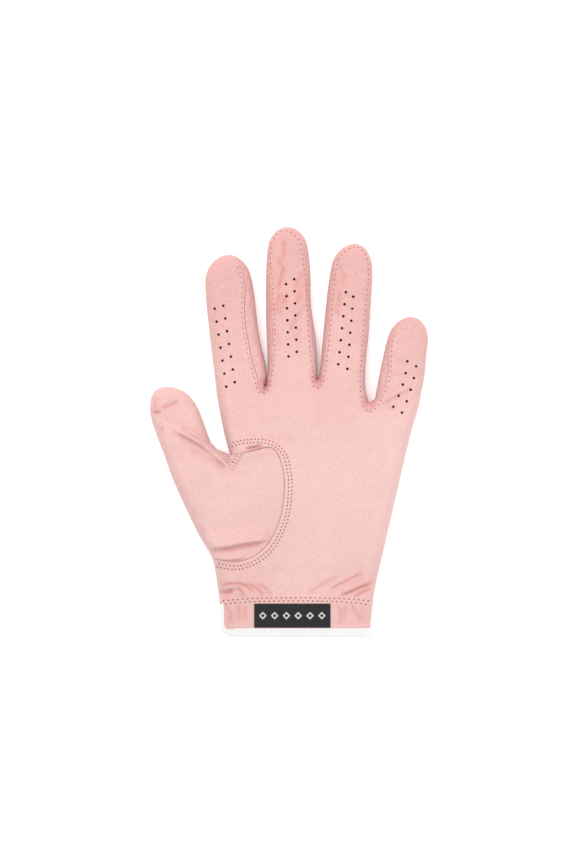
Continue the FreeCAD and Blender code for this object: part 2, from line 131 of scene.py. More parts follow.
# Folds of the palm side: (points, width to the left of the line, width to its right, height).
# Height is below zero for a crease.
PALM_FOLDS = [
    # foot of the thumb
    ([(-45, -60.2), (-35.4, -59.7), (-29.3, -58.8), (-22.4, -57.5), (-9, -55.6)], 6.5, 0.6, 2.0),
    ([(-42.5, -64.0), (-35.4, -65.9), (-29.3, -66.0), (-22, -64.8)], 2.4, 0.4, 1.1),
    ([(-38, -61.4), (-28, -60.9), (-14, -58.6)], 1.1, 1.0, -0.35),
    # across the thumb to its crotch
    ([(-53, 0.6), (-45.8, -3.4), (-39.7, -6.4), (-34.5, -9.8)], 1.8, 0.45, 1.3),
    ([(-60, 1.2), (-51, -3.2), (-45.8, -6.4), (-40, -10.4), (-36, -14.2), (-30.6, -18.8)], 2.6, 0.8, 2.0),
    ([(-71, 9.0), (-62, 5.6), (-50, 0.0)], 2.6, 1.6, -0.35),
    ([(-52, -8.6), (-46, -12.4), (-39, -16.6), (-31, -20.2)], 1.8, 2.6, -0.6),
    ([(-66.3, 2.2), (-64.6, -0.4)], 0.5, 0.5, -0.4),
    ([(-40, -20), (-28, -22.5), (-18, -22)], 2.5, 2.5, -0.3),
    # tip of the thumb
    ([(-66, 11.4), (-60.5, 13.8), (-56.2, 15.6)], 0.7, 0.6, -0.7),
    ([(-71.2, 10.6), (-68.8, 9.4), (-66.4, 10.4)], 0.6, 0.8, -1.3),
    ([(-68.6, 9.8), (-69.2, 13.5), (-69.4, 17.6)], 0.6, 0.6, -0.9),
    # above the thumb hole
    ([(-13, -4.4), (-5, -4.2), (1, -5.2), (7, -5.6)], 2.6, 1.4, -0.25),
    ([(-22.0, -9.4), (-18.5, -8.4), (-13, -7.7)], 0.5, 0.5, -1.4),
    ([(-27, -12.6), (-18, -11.0), (-9, -9.8)], 0.8, 2.5, 0.5),
    # thumb side of the wrist
    ([(-36, -83.7), (-32, -83.5), (-28.0, -82.4)], 1.0, 0.6, -1.5),
    ([(-36, -81.0), (-31.4, -79.3), (-25.7, -78.8), (-21.1, -80.5), (-17.7, -84.2)], 0.6, 0.6, -0.9),
    ([(-34, -81.2), (-30.4, -80.6), (-26.4, -80.2), (-23.2, -81.6)], 1.2, 0.8, 0.8),
    ([(-21.4, -78.8), (-17.6, -80.6), (-14.8, -82.8), (-12.5, -85.7)], 0.6, 0.6, -0.7),
    ([(-25.8, -81.4), (-24.2, -83.0), (-22.8, -85.7)], 0.6, 0.6, -0.6),
    ([(-16.6, -78.6), (-12.0, -81.4), (-8.4, -85.2)], 0.6, 0.6, -0.4),
    # little finger side of the wrist
    ([(9, -84.8), (18.7, -79.0), (27, -74.5)], 0.7, 0.6, -0.35),
    ([(20.7, -82.4), (27.7, -78.8), (34.6, -75.3), (40.0, -73.4)], 0.6, 0.6, -0.6),
    ([(26.0, -86.0), (28.8, -84.5), (36.9, -81.1), (45.6, -77.4)], 0.6, 0.6, -0.9),
    ([(28, -83.4), (36, -79.8), (44, -76.4)], 1.2, 0.8, 0.7),
    ([(33.4, -86.1), (38.6, -83.4), (45.0, -81.0)], 0.6, 0.6, -0.8),
    # gathers below the elastic
    ([(-32.4, -90.2), (-30.4, -94), (-29.5, -100.3)], 0.9, 0.6, -0.6),
    ([(-26.2, -89.5), (-25, -98.5)], 1.2, 0.6, -0.5),
    ([(-22.6, -89.8), (-21.8, -99)], 0.7, 1.0, -0.45),
    ([(25.2, -89.4), (27.4, -94.8), (25.8, -101)], 0.7, 1.0, -0.5),
    ([(29.9, -89.2), (28.7, -99.5)], 0.7, 0.9, -0.45),
    ([(33.0, -88.9), (34.6, -93), (38.6, -99.5)], 0.6, 1.2, -0.55),
    ([(38.2, -89.4), (39.5, -100)], 0.7, 1.0, -0.5),
    # root of the little finger
    ([(43.6, 12.2), (51.2, 16.6), (56.4, 19.4), (64.5, 23.6)], 1.7, 0.6, 0.8),
    ([(49.5, 11.6), (56, 14.6)], 1.2, 0.8, 0.3),
    # fingers
    ([(-2.2, 99.2), (-2.0, 92.7), (-2.4, 88.3)], 0.6, 0.6, -0.45),
    ([(-4.8, 90.2), (-3.7, 85.7), (-2.7, 82.6)], 0.6, 0.6, -0.4),
    ([(-1.4, 86.8), (-3.3, 80.5), (-4.6, 75.8), (-6.1, 72.6)], 0.9, 0.6, -0.6),
    ([(-2.7, 72.4), (-5, 68.4), (-5.9, 64.5), (-6.9, 60)], 0.8, 0.6, -0.5),
    ([(9.5, 83.6), (7.1, 79.7), (4.5, 76.2), (2.3, 73.6)], 0.6, 1.0, -0.5),
    ([(0.2, 72.0), (-1.7, 67.8), (-3.5, 64.4), (-5.1, 59.4)], 0.6, 1.2, -0.45),
    ([(8.8, 76.2), (6.2, 71.0), (4.9, 65.5)], 0.6, 0.9, -0.45),
    ([(7.5, 63.4), (3.6, 57.5), (1.2, 51.0)], 0.7, 0.9, -0.4),
    ([(6.6, 53.5), (3.4, 47.5)], 0.7, 0.9, -0.3),
    ([(26.0, 86.6), (28.4, 81.6), (29.4, 75.0)], 0.7, 0.7, -0.25),
    ([(24.4, 80.5), (26.2, 74.6), (26.4, 68.6)], 0.7, 0.7, -0.2),
    ([(27.0, 73.5), (26.2, 66), (25.3, 58.6)], 0.8, 0.8, -0.35),
    ([(53.6, 42.4), (56.6, 37.6), (61, 34.6)], 0.7, 0.7, -0.25),
    ([(51.8, 30.8), (56.4, 29.4), (60.4, 31.0)], 0.7, 0.7, -0.2),
    ([(-34.5, 79.5), (-28.6, 78.0)], 1.0, 1.0, -0.2),
]
# Fan of fine creases on the middle finger: (count, first start, first end, step down)
CREASE_FAN = (6, (-8.6, 53.2), (-4.6, 48.0), 1.5)


# The frame's stalls

def joint(name):
    return next(j for j in frame["joints"] if j["name"] == name)


def node_points(node):
    """The points of a CAD node, in millimetres."""
    mesh = frame["nodes"][node].data
    points = np.empty(len(mesh.vertices) * 3)
    mesh.vertices.foreach_get("co", points)
    return points.reshape(-1, 3) / MM


class Outline:
    """Reads where some CAD nodes begin and end across a line of the drawing."""

    def __init__(self, nodes, origin, across, along):
        self.across, self.along, self.ends = [], [], []
        for node in nodes:
            mesh = frame["nodes"][node].data
            flat = node_points(node)[:, :2] - origin
            pairs = np.empty(len(mesh.edges) * 2, int)
            mesh.edges.foreach_get("vertices", pairs)
            pairs = pairs.reshape(-1, 2)
            self.across.append((flat @ across)[pairs])
            self.along.append((flat @ along)[pairs])
        self.across = np.concatenate(self.across)
        self.along = np.concatenate(self.along)

    def reach(self):
        return self.along.max()

    def span(self, station):
        """Least and greatest 'across' at a distance along."""
        near, far = self.along.min(1), self.along.max(1)
        hit = (near <= station) & (far >= station) & (far - near > 1e-6)
        a0, a1 = self.along[hit].T
        c0, c1 = self.across[hit].T
        crossing = c0 + (c1 - c0) * (station - a0) / (a1 - a0)
        return crossing.min(), crossing.max()


class Stall:
    """A finger or the thumb: its own frame and its outlines as the CAD has them."""

    def __init__(self, name):
        base, middle = joint(name + "_base_bend"), joint(name + "_middle_bend")
        self.name = name
        self.origin = np.array(base["pos_m"][:2]) / MM
        self.across = np.array(base["axis"][:2])
        self.along = np.array([-self.across[1], self.across[0]])
        self.height = base["pos_m"][2] / MM
        self.bend = float((np.array(middle["pos_m"][:2]) / MM - self.origin) @ self.along)
        self.outer = self.sides("back")
        self.strip = self.sides("palm")
        self.length = self.outer[0][-1][1]

    def sides(self, piece):
        """Left and right sides as (across, along) from the base line to the tip."""
        nodes = [f"{self.name}_lower_{piece}", f"{self.name}_upper_{piece}"]
        outline = Outline(nodes, self.origin, self.across, self.along)
        tip = outline.reach()
        left, right = [], []
        for step in range(44):
            share = step / 44.0
            station = 0.5 + (tip - 0.52) * (1 - (1 - share) ** 2)
            if abs(station - self.bend) < 0.5:
                continue
            low, high = outline.span(station)
            left.append((low, station if step else 0.0))
            right.append((high, station if step else 0.0))
        end = ((left[-1][0] + right[-1][0]) / 2, tip)
        return np.array(left + [end]), np.array(right + [end])

    def span_at(self, along):
        """Left and right side of the outline at distances along."""
        return [np.interp(along, side[:, 1], side[:, 0]) for side in self.outer]

    def to_hand(self, points):
        points = np.asarray(points, float)
        return self.origin + points[..., :1] * self.across + points[..., 1:] * self.along

    def to_stall(self, points):
        flat = np.asarray(points, float) - self.origin
        return np.stack([flat @ self.across, flat @ self.along], -1)


stalls = {name: Stall(name) for name in STALLS}


# Plane geometry

def lengths_along(line):
    """Distance along an open line at each of its points."""
    return np.concatenate([[0], np.cumsum(np.hypot(*np.diff(line, axis=0).T))])


def points_at(places, run, line):
    """Points of a line at distances along it."""
    return np.stack([np.interp(places, run, line[:, 0]), np.interp(places, run, line[:, 1])], 1)


def left_of(run):
    """Unit direction to the left of each run."""
    return np.stack([-run[:, 1], run[:, 0]], 1) / np.hypot(*run.T)[:, None]


def resample(points, step=OUTLINE_STEP):
    """Even points along an open line, ends kept."""
    points = np.asarray(points, float)
    run = lengths_along(points)
    count = max(2, int(round(run[-1] / step)) + 1)
    return points_at(np.linspace(0, run[-1], count), run, points)


def soften(points, rounds=12):
    """Rounds the corners of an evenly spaced open line, ends kept."""
    points = points.copy()
    for _ in range(rounds):
        points[1:-1] = 0.25 * points[:-2] + 0.5 * points[1:-1] + 0.25 * points[2:]
    return points


def smooth_line(points, step=OUTLINE_STEP):
    return resample(soften(resample(points, 1.0), 14), step)


def curve_through(points, step=OUTLINE_STEP):
    """Smooth curve through a few points (Catmull-Rom)."""
    points = np.asarray(points, float)
    padded = np.concatenate([[2 * points[0] - points[1]], points, [2 * points[-1] - points[-2]]])
    t = np.linspace(0, 1, 16, endpoint=False)[:, None]
    runs = []
    for a, b, c, d in zip(padded, padded[1:], padded[2:], padded[3:]):
        runs.append(0.5 * (2 * b + (c - a) * t + (2 * a - 5 * b + 4 * c - d) * t ** 2
                           + (3 * b - a - 3 * c + d) * t ** 3))
    return resample(np.concatenate(runs + [points[-1:]]), step)


def offset_line(line, distance):
    """Line moved to its left by distance."""
    return resample(soften(line + left_of(np.gradient(line, axis=0)) * distance, 6))


def inside(points, ring):
    """Which points lie inside a closed ring."""
    points, ring = np.asarray(points), np.asarray(ring)
    result = np.zeros(len(points), bool)
    for (x0, y0), (x1, y1) in zip(ring, np.roll(ring, -1, 0)):
        if y0 == y1:
            continue
        crosses = (y0 > points[:, 1]) != (y1 > points[:, 1])
        result ^= crosses & (points[:, 0] < x0 + (x1 - x0) * (points[:, 1] - y0) / (y1 - y0))
    return result


def line_distance(points, line):
    """Distance to an open line, above zero on its left, and how far along it, 0 to 1."""
    line = np.asarray(line, float)
    run = lengths_along(line)
    best = np.full(len(points), 1e9)
    share, side = np.zeros(len(points)), np.ones(len(points))
    for i in range(len(line) - 1):
        edge = line[i + 1] - line[i]
        t = np.clip((points - line[i]) @ edge / max(edge @ edge, 1e-9), 0, 1)
        gap = np.hypot(*(points - line[i] - t[:, None] * edge).T)
        closer = gap < best
        best[closer] = gap[closer]
        share[closer] = (run[i] + t[closer] * (run[i + 1] - run[i])) / run[-1]
        side[closer] = np.sign(np.cross(edge, points[closer] - line[i]) + 1e-12)
    return best * side, share


def smoothstep(t):
    t = np.clip(t, 0, 1)
    return t * t * (3 - 2 * t)


def lapped(distance):
    """Share of its height that a lap has reached, by the distance from the silhouette."""
    return smoothstep(distance / LAP_SLOPE)


# Silhouette, anticlockwise from the little finger's end of the hem

hand_axes = (np.zeros(2), np.array([1.0, 0.0]), np.array([0.0, 1.0]))
palm_edges = Outline(["palm_panel"], *hand_axes)
thumb_edges = Outline(["thumb_base_back"], *hand_axes)
hem_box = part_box("palm_hem_binding")
HEM = hem_box[0].y / MM
HEM_RIGHT = hem_box[1].x / MM
RIGHT_EDGE = (HEM + 4, 10.0, 12)


def edge_readings(edges, side, stations):
    """Points of a CAD outline, on its left side (0) or its right side (1)."""
    return [(edges.span(y)[side], y) for y in np.linspace(*stations)]


def thumb_side():
    wrist = edge_readings(palm_edges, 0, WRIST_EDGE)
    return edge_readings(thumb_edges, 0, THUMB_EDGE) + [(x - BINDING_ROOM, y) for x, y in wrist]


def stall_outline(name):
    """Right side up to the tip and down the left side."""
    left, right = stalls[name].outer
    left_start, right_start = SIDE_STARTS.get(name, (0.0, 0.0))
    left = left[left[:, 1] >= left_start]
    right = right[right[:, 1] >= right_start]
    return stalls[name].to_hand(np.concatenate([right, left[-2::-1]]))


def silhouette():
    """Closed ring, and the same without the open hem and slit."""
    right_side = [(HEM_RIGHT, HEM)] + edge_readings(palm_edges, 1, RIGHT_EDGE)
    index_side = edge_readings(palm_edges, 0, INDEX_EDGE) + [THUMB_CROTCH]
    runs = [smooth_line(right_side + [stall_outline("little")[0]])]
    for name, crotch in (("little", "ring"), ("ring", "middle"), ("middle", "index")):
        runs.append(resample(stall_outline(name)))
        bottom = CROTCHES[crotch]
        following = stall_outline(crotch)[0]
        runs.append(resample([stall_outline(name)[-1], bottom, following], 0.5))
    runs.append(resample(stall_outline("index")))
    runs.append(smooth_line([stall_outline("index")[-1]] + index_side))
    runs.append(resample([THUMB_CROTCH, WEB, stall_outline("thumb")[0]], 0.5))
    runs.append(resample(stall_outline("thumb")))
    side = smooth_line([stall_outline("thumb")[-1]] + thumb_side())
    runs.append(side)
    x = side[-1][0]
    corner = [side[-1]] + [(x + right, HEM + up) for right, up in HEM_CORNER]
    runs.append(curve_through(corner, 0.5))
    runs.append(resample([corner[-1], (HEM_RIGHT, HEM)]))
    ring = np.concatenate([run[:-1] for run in runs])
    opened = (ring[:, 1] < SLIT_TOP) & (ring[:, 0] < 0) | (ring[:, 1] < HEM + 0.01)
    return ring, ~opened


ring, joined = silhouette()


def tree_of(points):
    tree = KDTree(len(points))
    for i, (x, y) in enumerate(points):
        tree.insert((x, y, 0), i)
    tree.balance()
    return tree


def edge_distance(points, line, tree):
    """Distance to a densely sampled closed line."""
    nearest = np.array([tree.find((x, y, 0))[1] for x, y in points])
    here = line[nearest]
    best = np.hypot(*(points - here).T)
    for step in (-1, 1):
        there = line[(nearest + step) % len(line)]
        edge = there - here
        near = np.einsum("ij,ij->i", edge, edge) < 4.0
        t = np.einsum("ij,ij->i", points - here, edge) / np.maximum(
            np.einsum("ij,ij->i", edge, edge), 1e-9)
        gap = np.hypot(*(points - here - np.clip(t, 0, 1)[:, None] * edge).T)
        best = np.where(near, np.minimum(best, gap), best)
    return best


fold_line = ring[joined]
fold_tree = tree_of(fold_line)


# Heights

def profile(node, high):
    """Height of a CAD sheet along the hand, as stations and heights."""
    points = node_points(node)
    nearest = np.round(points[:, 1] / STATION).astype(int)
    stations = sorted(set(nearest))
    heights = []
    for station in stations:
        z = points[nearest == station, 2]
        heights.append(z.max() if high else z.min())
    return np.array(stations) * STATION, np.array(heights)


palm_profile = profile("palm_panel", True)
back_profile = profile("back_panel", False)


def stall_share(points):
    """How far along its stall each point is, 0 at the base line and 1 at the tip."""
    share = np.zeros(len(points))
    for stall in stalls.values():
        across, along = stall.to_stall(points).T
        mine = (along > 0) & (np.abs(across) < 15)
        share[mine] = np.maximum(share[mine], along[mine] / stall.length)
    return share


def palm_level(points):
    """Height of the palm side away from its rounded edges."""
    level = np.interp(points[:, 1], *palm_profile)
    across, along = stalls["thumb"].to_stall(points).T
    start, length = THUMB_BLEND
    reach, fade = THUMB_SPREAD
    on_thumb = smoothstep((along - start) / length) * smoothstep((reach - across) / fade)
    level = level + (stalls["thumb"].height - level) * on_thumb
    return level - TIP_TAPER * stall_share(points) ** 2


def rounded(distance, width, power=2.1):
    t = np.clip(distance / width, 0, 1)
    return (1 - (1 - t) ** power) ** (1 / power)


def fold_lines():
    """The folds as smooth lines, with those of the fan."""
    count, start, end, step = CREASE_FAN
    fan = [([(start[0], start[1] - k * step), (end[0], end[1] - k * step)], 0.5, 0.6, -0.3)
           for k in range(count)]
    return [(curve_through(line, 1.0), *rest) for line, *rest in PALM_FOLDS + fan]


def folds(points):
    """Sum of the folds, each fading out at its ends."""
    total = np.zeros(len(points))
    for line, left, right, height in palm_folds:
        reach = 3 * max(left, right)
        near = np.all((points > line.min(0) - reach) & (points < line.max(0) + reach), axis=1)
        gap, share = line_distance(points[near], line)
        fade = smoothstep(np.minimum(share, 1 - share) * 5 + 0.05)
        width = np.where(gap > 0, left, right)
        total[near] += height * fade * np.exp(-(gap / width) ** 2)
    return total


def unevenness(points):
    """Slight hollows and swells of leather that nothing fills."""
    total = np.zeros(len(points))
    for size, place, height in UNEVENNESS:
        total += height * np.array([noise_at(Vector((x / size, y / size, place))) for x, y in points])
    return total


palm_folds = fold_lines()


def palm_height(points):
    distance = edge_distance(points, fold_line, fold_tree)
    level = palm_level(points)
    edge = EDGE_LEVEL * level + 0.5 * np.interp(points[:, 1], *back_profile)
    base = edge + (level - edge) * rounded(distance, PALM_ROUNDING)
    calm = smoothstep(distance / 2.2)
    return base + calm * (folds(points) + unevenness(points)), distance


def back_height(points):
    distance = edge_distance(points, fold_line, fold_tree)
    level = palm_level(points)
    floor = np.interp(points[:, 1], *back_profile)
    edge = EDGE_LEVEL * level + 0.5 * floor
    return edge - (edge - floor) * rounded(distance, BACK_ROUNDING), distance


# Meshes

def ring_points():
    """Rows of points just inside the silhouette, where the leather rounds over."""
    inward = left_of(np.roll(ring, -1, 0) - np.roll(ring, 1, 0))
    tree = tree_of(ring)
    rows = []
    for depth in EDGE_RINGS:
        row = ring + inward * depth
        if depth > 1.5:
            row = row[::2]
        keep = edge_distance(row, ring, tree) > 0.93 * depth
        rows.append(row[keep & inside(row, ring)])
    return np.concatenate(rows), tree


def field_points(tree):
    """Staggered grid of points in the open."""
    low, high = ring.min(0), ring.max(0)
    rows = []
    for number, y in enumerate(np.arange(low[1], high[1], GRID * 0.866)):
        x = np.arange(low[0] + (number % 2) * GRID / 2, high[0], GRID)
        rows.append(np.stack([x, np.full(len(x), y)], 1))
    points = np.concatenate(rows)
    points = points[inside(points, ring)]
    return points[edge_distance(points, ring, tree) > EDGE_RINGS[-1] + 0.6]


def joined_guides(guides, closed):
    """Points of all the guides and the edges that join them; closed says which are rings."""
    points, edges, start = [], [], 0
    for guide, is_ring in zip(guides, closed):
        numbers = list(range(start, start + len(guide)))
        edges += list(zip(numbers, numbers[1:]))
        if is_ring:
            edges.append((numbers[-1], numbers[0]))
        points.append(np.asarray(guide))
        start += len(guide)
    return points, edges


class Sheet:
    """One side of the glove as a single triangulation."""

    def __init__(self, lines, holes, height, up):
        edge, tree = ring_points()
        open_points = field_points(tree)
        closed = [True] + [False] * len(lines) + [True] * len(holes)
        points, edges = joined_guides([ring] + lines + holes, closed)
        guide_tree = tree_of(np.concatenate([np.asarray(g) for g in lines + holes]))
        near = np.array([guide_tree.find((x, y, 0))[2] for x, y in open_points])
        near_edge = np.array([guide_tree.find((x, y, 0))[2] for x, y in edge])
        points += [edge[near_edge > 0.2], open_points[near > 0.35]]
        cloud = [Vector(p) for p in np.concatenate(points)]
        result = delaunay_2d_cdt(cloud, edges, [], 0, 1e-4)
        flat = np.array([tuple(v) for v in result[0]])
        faces = np.array(result[2])
        middles = flat[faces].mean(1)
        good = inside(middles, ring)
        for hole in holes:
            centre, radius = hole.mean(0), np.hypot(*(hole[0] - hole.mean(0)))
            good &= np.hypot(*(middles - centre).T) > radius * 0.9
        self.flat, self.faces = flat, faces[good]
        self.middles = middles[good]
        if not up:
            self.faces = self.faces[:, ::-1]
        self.z, self.distance = height(flat)


def vertex_normals(points, faces):
    corners = points[faces]
    face = np.cross(corners[:, 1] - corners[:, 0], corners[:, 2] - corners[:, 0])
    normals = np.zeros_like(points)
    for corner in range(3):
        np.add.at(normals, faces[:, corner], face)
    return normals / np.maximum(np.linalg.norm(normals, axis=1), 1e-9)[:, None]


def painted_crease_shade(sheet):
    """Painted shade for creases: how concave the leather is at each point, blurred, from -1 on a ridge to
    1 in a crease, raised to full at the foot of each gap.
    """
    pairs = np.concatenate([sheet.faces[:, [0, 1]], sheet.faces[:, [1, 2]], sheet.faces[:, [2, 0]]])
    count = np.zeros(len(sheet.z))
    rise, spread = np.zeros(len(sheet.z)), np.zeros(len(sheet.z))
    np.add.at(count, pairs[:, 0], 1)
    np.add.at(rise, pairs[:, 0], sheet.z[pairs[:, 1]] - sheet.z[pairs[:, 0]])
    gap = sheet.flat[pairs[:, 1]] - sheet.flat[pairs[:, 0]]
    np.add.at(spread, pairs[:, 0], (gap ** 2).sum(1))
    value = np.clip(rise / np.maximum(spread, 1e-6) / FULL_CREASE_SHADE, -1, 1)
    value[sheet.distance < EDGE_UNSHADED] = 0.0
    # painted shade at the foot of each gap between the fingers
    for foot in CROTCHES.values():
        gap = np.hypot(*(sheet.flat - foot).T)
        value = np.maximum(value, smoothstep(1.2 - gap / CROTCH_SHADE))
    for _ in range(CREASE_SHADE_BLUR):
        total = value.copy()
        np.add.at(total, pairs[:, 0], value[pairs[:, 1]])
        value = total / (count + 1)
    return value


def weld_normals(sheets):
    """Normals of all the sheets together, so that shading runs on round the silhouette."""
    keys, points, faces, places = {}, [], [], []
    for sheet in sheets:
        solid = np.column_stack([sheet.flat, sheet.z])
        place = []
        for row in np.round(solid, 3):
            key = tuple(row)
            if key not in keys:
                keys[key] = len(points)
                points.append(key)
            place.append(keys[key])
        place = np.array(place)
        places.append(place)
        faces.append(place[sheet.faces])
    normals = vertex_normals(np.array(points), np.concatenate(faces))
    for sheet, place in zip(sheets, places):
        sheet.normals = normals[place]
        # painted shade in creases and at the feet of the gaps, for the leather's material
        sheet.crease = painted_crease_shade(sheet)


def make_mesh(name, points, faces, materials, slots=None, normals=None):
    """Mesh object from millimetre points; slots gives each face its material."""
    mesh = bpy.data.meshes.new(name)
    mesh.from_pydata([tuple(p) for p in np.asarray(points) * MM], [], [tuple(f) for f in faces])
    for material in materials:
        mesh.materials.append(material)
    if slots is not None:
        mesh.polygons.foreach_set("material_index", np.asarray(slots, np.int32))
    mesh.polygons.foreach_set("use_smooth", np.ones(len(mesh.polygons), bool))
    mesh.update()
    if normals is not None:
        mesh.normals_split_custom_set_from_vertices([tuple(n) for n in normals])
    thing = bpy.data.objects.new(name, mesh)
    bpy.context.scene.collection.objects.link(thing)
    return thing


def rim_of(faces):
    """Edges with a face on one side only, in the direction that face has them."""
    directed = np.concatenate([faces[:, [0, 1]], faces[:, [1, 2]], faces[:, [2, 0]]])
    known = set(map(tuple, directed))
    return np.array([(a, b) for a, b in directed if (b, a) not in known])


def outward_directions(outer, normals, rim):
    """Direction out of the piece at each point of its rim, zero elsewhere."""
    out = np.cross(outer[rim[:, 1]] - outer[rim[:, 0]], normals[rim[:, 0]])
    out /= np.maximum(np.linalg.norm(out, axis=1), 1e-9)[:, None]
    total = np.zeros_like(outer)
    for corner in (0, 1):
        np.add.at(total, rim[:, corner], out)
    return total / np.maximum(np.linalg.norm(total, axis=1), 1e-9)[:, None]


def leather_solid(flat, z, normals, faces, raw):
    """Outer faces, inner faces and the rim between them, with a material slot for each face.

    At points marked raw the rim slopes out, as a cut edge does.
    """
    outer = np.column_stack([flat, z])
    rim = rim_of(faces)
    outward = outward_directions(outer, normals, rim)
    inner = outer - normals * LEATHER + outward * (RAW_EDGE * raw)[:, None]
    corners, rim = np.unique(rim, return_inverse=True)
    rim = rim.reshape(-1, 2)
    count, rim_count = len(outer), len(corners)
    points = np.concatenate([outer, inner, outer[corners], inner[corners]])
    slope = outward[corners] + normals[corners] * raw[corners][:, None]
    slope /= np.linalg.norm(slope, axis=1)[:, None]
    all_normals = np.concatenate([normals, -normals, slope, slope])
    low = 2 * count + rim
    walls = np.column_stack([low[:, 1], low[:, 0], low[:, 0] + rim_count, low[:, 1] + rim_count])
    all_faces = [tuple(f) for f in faces] + [tuple(f[::-1] + count) for f in faces]
    all_faces += [tuple(f) for f in walls]
    # the walls of the perforations take the painted shade material in slot 3
    punched = hole_distance(flat[corners[rim[:, 0]]]) < 1.1 * HOLE_RADIUS
    slots = [0] * len(faces) + [1] * len(faces) + [3 if hole else 2 for hole in punched]
    return points, all_faces, slots, all_normals


def hole_distance(points):
    """Distance to the nearest perforation's centre."""
    return np.array([hole_tree.find((x, y, 0))[2] for x, y in points])


# Seams

LAPPED = {"index": ("right",), "middle": ("left", "right"), "ring": ("left", "right"),
          "little": ("left",), "thumb": ()}
# Palm's cut edge round the foot of each gap, from the finger named to the next: (next finger,
# points at the foot, where the straight sides start along each of the two fingers)
CROTCH_SEAMS = {
    "index": ("middle", [(-15.2, 22.2), (-14.0, 19.9), (-12.0, 19.7), (-10.7, 23.0)], 5.0, 2.0),
    "middle": ("ring", [(13.5, 25.4), (14.4, 21.9), (16.0, 21.9), (17.0, 25.4)], 3.5, 5.0),
    "ring": ("little", [(38.8, 20.5), (39.5, 13.8), (41.2, 10.0), (44.6, 12.4)], 1.5, 1.0),
}
BACK_SEAM_INSET = 2.8
ROW_ENDS = {"index": 67.0, "little": 37.0}     # where a row of stitches stops short of the tip


def side_line(name, side, outline, inset=0.0):
    """One side of a stall's outline, from the base line to the tip, moved in by inset."""
    left, right = outline
    line = (left if side == "left" else right).copy()
    line[:, 0] += inset if side == "left" else -inset
    return line


def seam_path(name, row_ends=False):
    """Cut edge of the palm from one finger's tip, round the gap's foot, to the next one's."""
    other, foot, start, other_start = CROTCH_SEAMS[name]
    down = side_line(name, "right", stalls[name].strip)
    down = down[(down[:, 1] > start)][::-1]
    up = side_line(other, "left", stalls[other].strip)
    up = up[up[:, 1] > other_start]
    if row_ends:
        down = down[down[:, 1] < ROW_ENDS.get(name, 999.0)]
        up = up[up[:, 1] < ROW_ENDS.get(other, 999.0)]
    path = np.concatenate([stalls[name].to_hand(down), np.array(foot), stalls[other].to_hand(up)])
    return resample(soften(resample(path, 0.5), 10))


def cross_line(stall, along):
    """Line across a stall, from just outside one side to just outside the other."""
    left, right = stall.span_at(along)
    ends = [(left - STALL_MARGIN, along), (right + STALL_MARGIN, along)]
    return resample(stall.to_hand(ends))


hole_line = curve_through(THUMB_HOLE)
keystone_line = resample(KEYSTONE)
seams = {name: seam_path(name) for name in CROTCH_SEAMS}
bends = [cross_line(stall, along) for stall in stalls.values() for along in (0.0, stall.bend)]


def hole_ring(centre, count=14):
    angles = np.linspace(0, 2 * math.pi, count, endpoint=False)
    return centre + HOLE_RADIUS * np.stack([np.cos(angles), np.sin(angles)], 1)


def perforations():
    rings = []
    for name, columns in HOLES.items():
        for first, last, bow, count in columns:
            t = np.linspace(0, 1, count)
            across = first[0] + (last[0] - first[0]) * t + bow * 4 * t * (1 - t)
            along = first[1] + (last[1] - first[1]) * t
            rings += [hole_ring(c) for c in stalls[name].to_hand(np.stack([across, along], 1))]
    return rings


def back_thumb_line():
    foot = ring[np.argmin(np.hypot(*(ring - THUMB_HOLE[-1]).T))]
    return curve_through([THUMB_CROTCH, (-28.5, -28.0), (-31.0, -48.0), tuple(foot)])


def back_lap_lines():
    lines = []
    for name, sides in LAPPED.items():
        for side in sides:
            line = side_line(name, side, stalls[name].outer, BACK_SEAM_INSET)[:-4]
            lines.append((name, side, smooth_line(stalls[name].to_hand(line))))
    return lines


def crease_guides():
    """Lines that the mesh follows, along each narrow fold and on both sides of it."""
    guides = []
    for line, left, right, _ in palm_folds:
        if min(left, right) <= 0.8:
            guides += [resample(line), resample(offset_line(line, 0.6 * left))]
            guides.append(resample(offset_line(line, -0.6 * right)))
    return guides


back_laps = back_lap_lines()
back_thumb = back_thumb_line()
palm_guides = list(seams.values())
palm_guides += bends + [hole_line, keystone_line] + crease_guides()
back_guides = [line for _, _, line in back_laps] + bends + [back_thumb]
raw_edges = tree_of(np.concatenate(list(seams.values()) + [hole_line, keystone_line]))
hole_rings = perforations()
hole_tree = tree_of(np.array([hole.mean(0) for hole in hole_rings]))
palm_sheet = Sheet(palm_guides, hole_rings, palm_height, True)
back_sheet = Sheet(back_guides, [], back_height, False)
weld_normals([palm_sheet, back_sheet])


# Which piece each triangle belongs to

def stall_of(points):
    """Name of the stall and its own coordinates, for each point that lies in one."""
    names = np.full(len(points), "", dtype=object)
    local = np.zeros((len(points), 2))
    for name, stall in stalls.items():
        own = stall.to_stall(points)
        left, right = stall.span_at(own[:, 1])
        mine = (own[:, 0] > left - STALL_MARGIN) & (own[:, 0] < right + STALL_MARGIN)
        mine &= own[:, 1] > 0
        names[mine], local[mine] = name, own[mine]
    return names, local


def side_of(name, local, edges):
    """'' on the main leather, or the side whose fourchette it is."""
    result = np.full(len(local), "", dtype=object)
    for side in LAPPED[name]:
        line = edges[name, side]
        edge = np.interp(local[:, 1], line[:, 1], line[:, 0])
        beyond = local[:, 0] < edge if side == "left" else local[:, 0] > edge
        result[beyond] = side
    return result


def fourchette_name(name, segment, side):
    tail = "_" + side if len(LAPPED[name]) > 1 else ""
    return f"{name}_{segment}_fourchette{tail}"


def segment_of(name, along):
    return "upper" if along > stalls[name].bend else "lower"


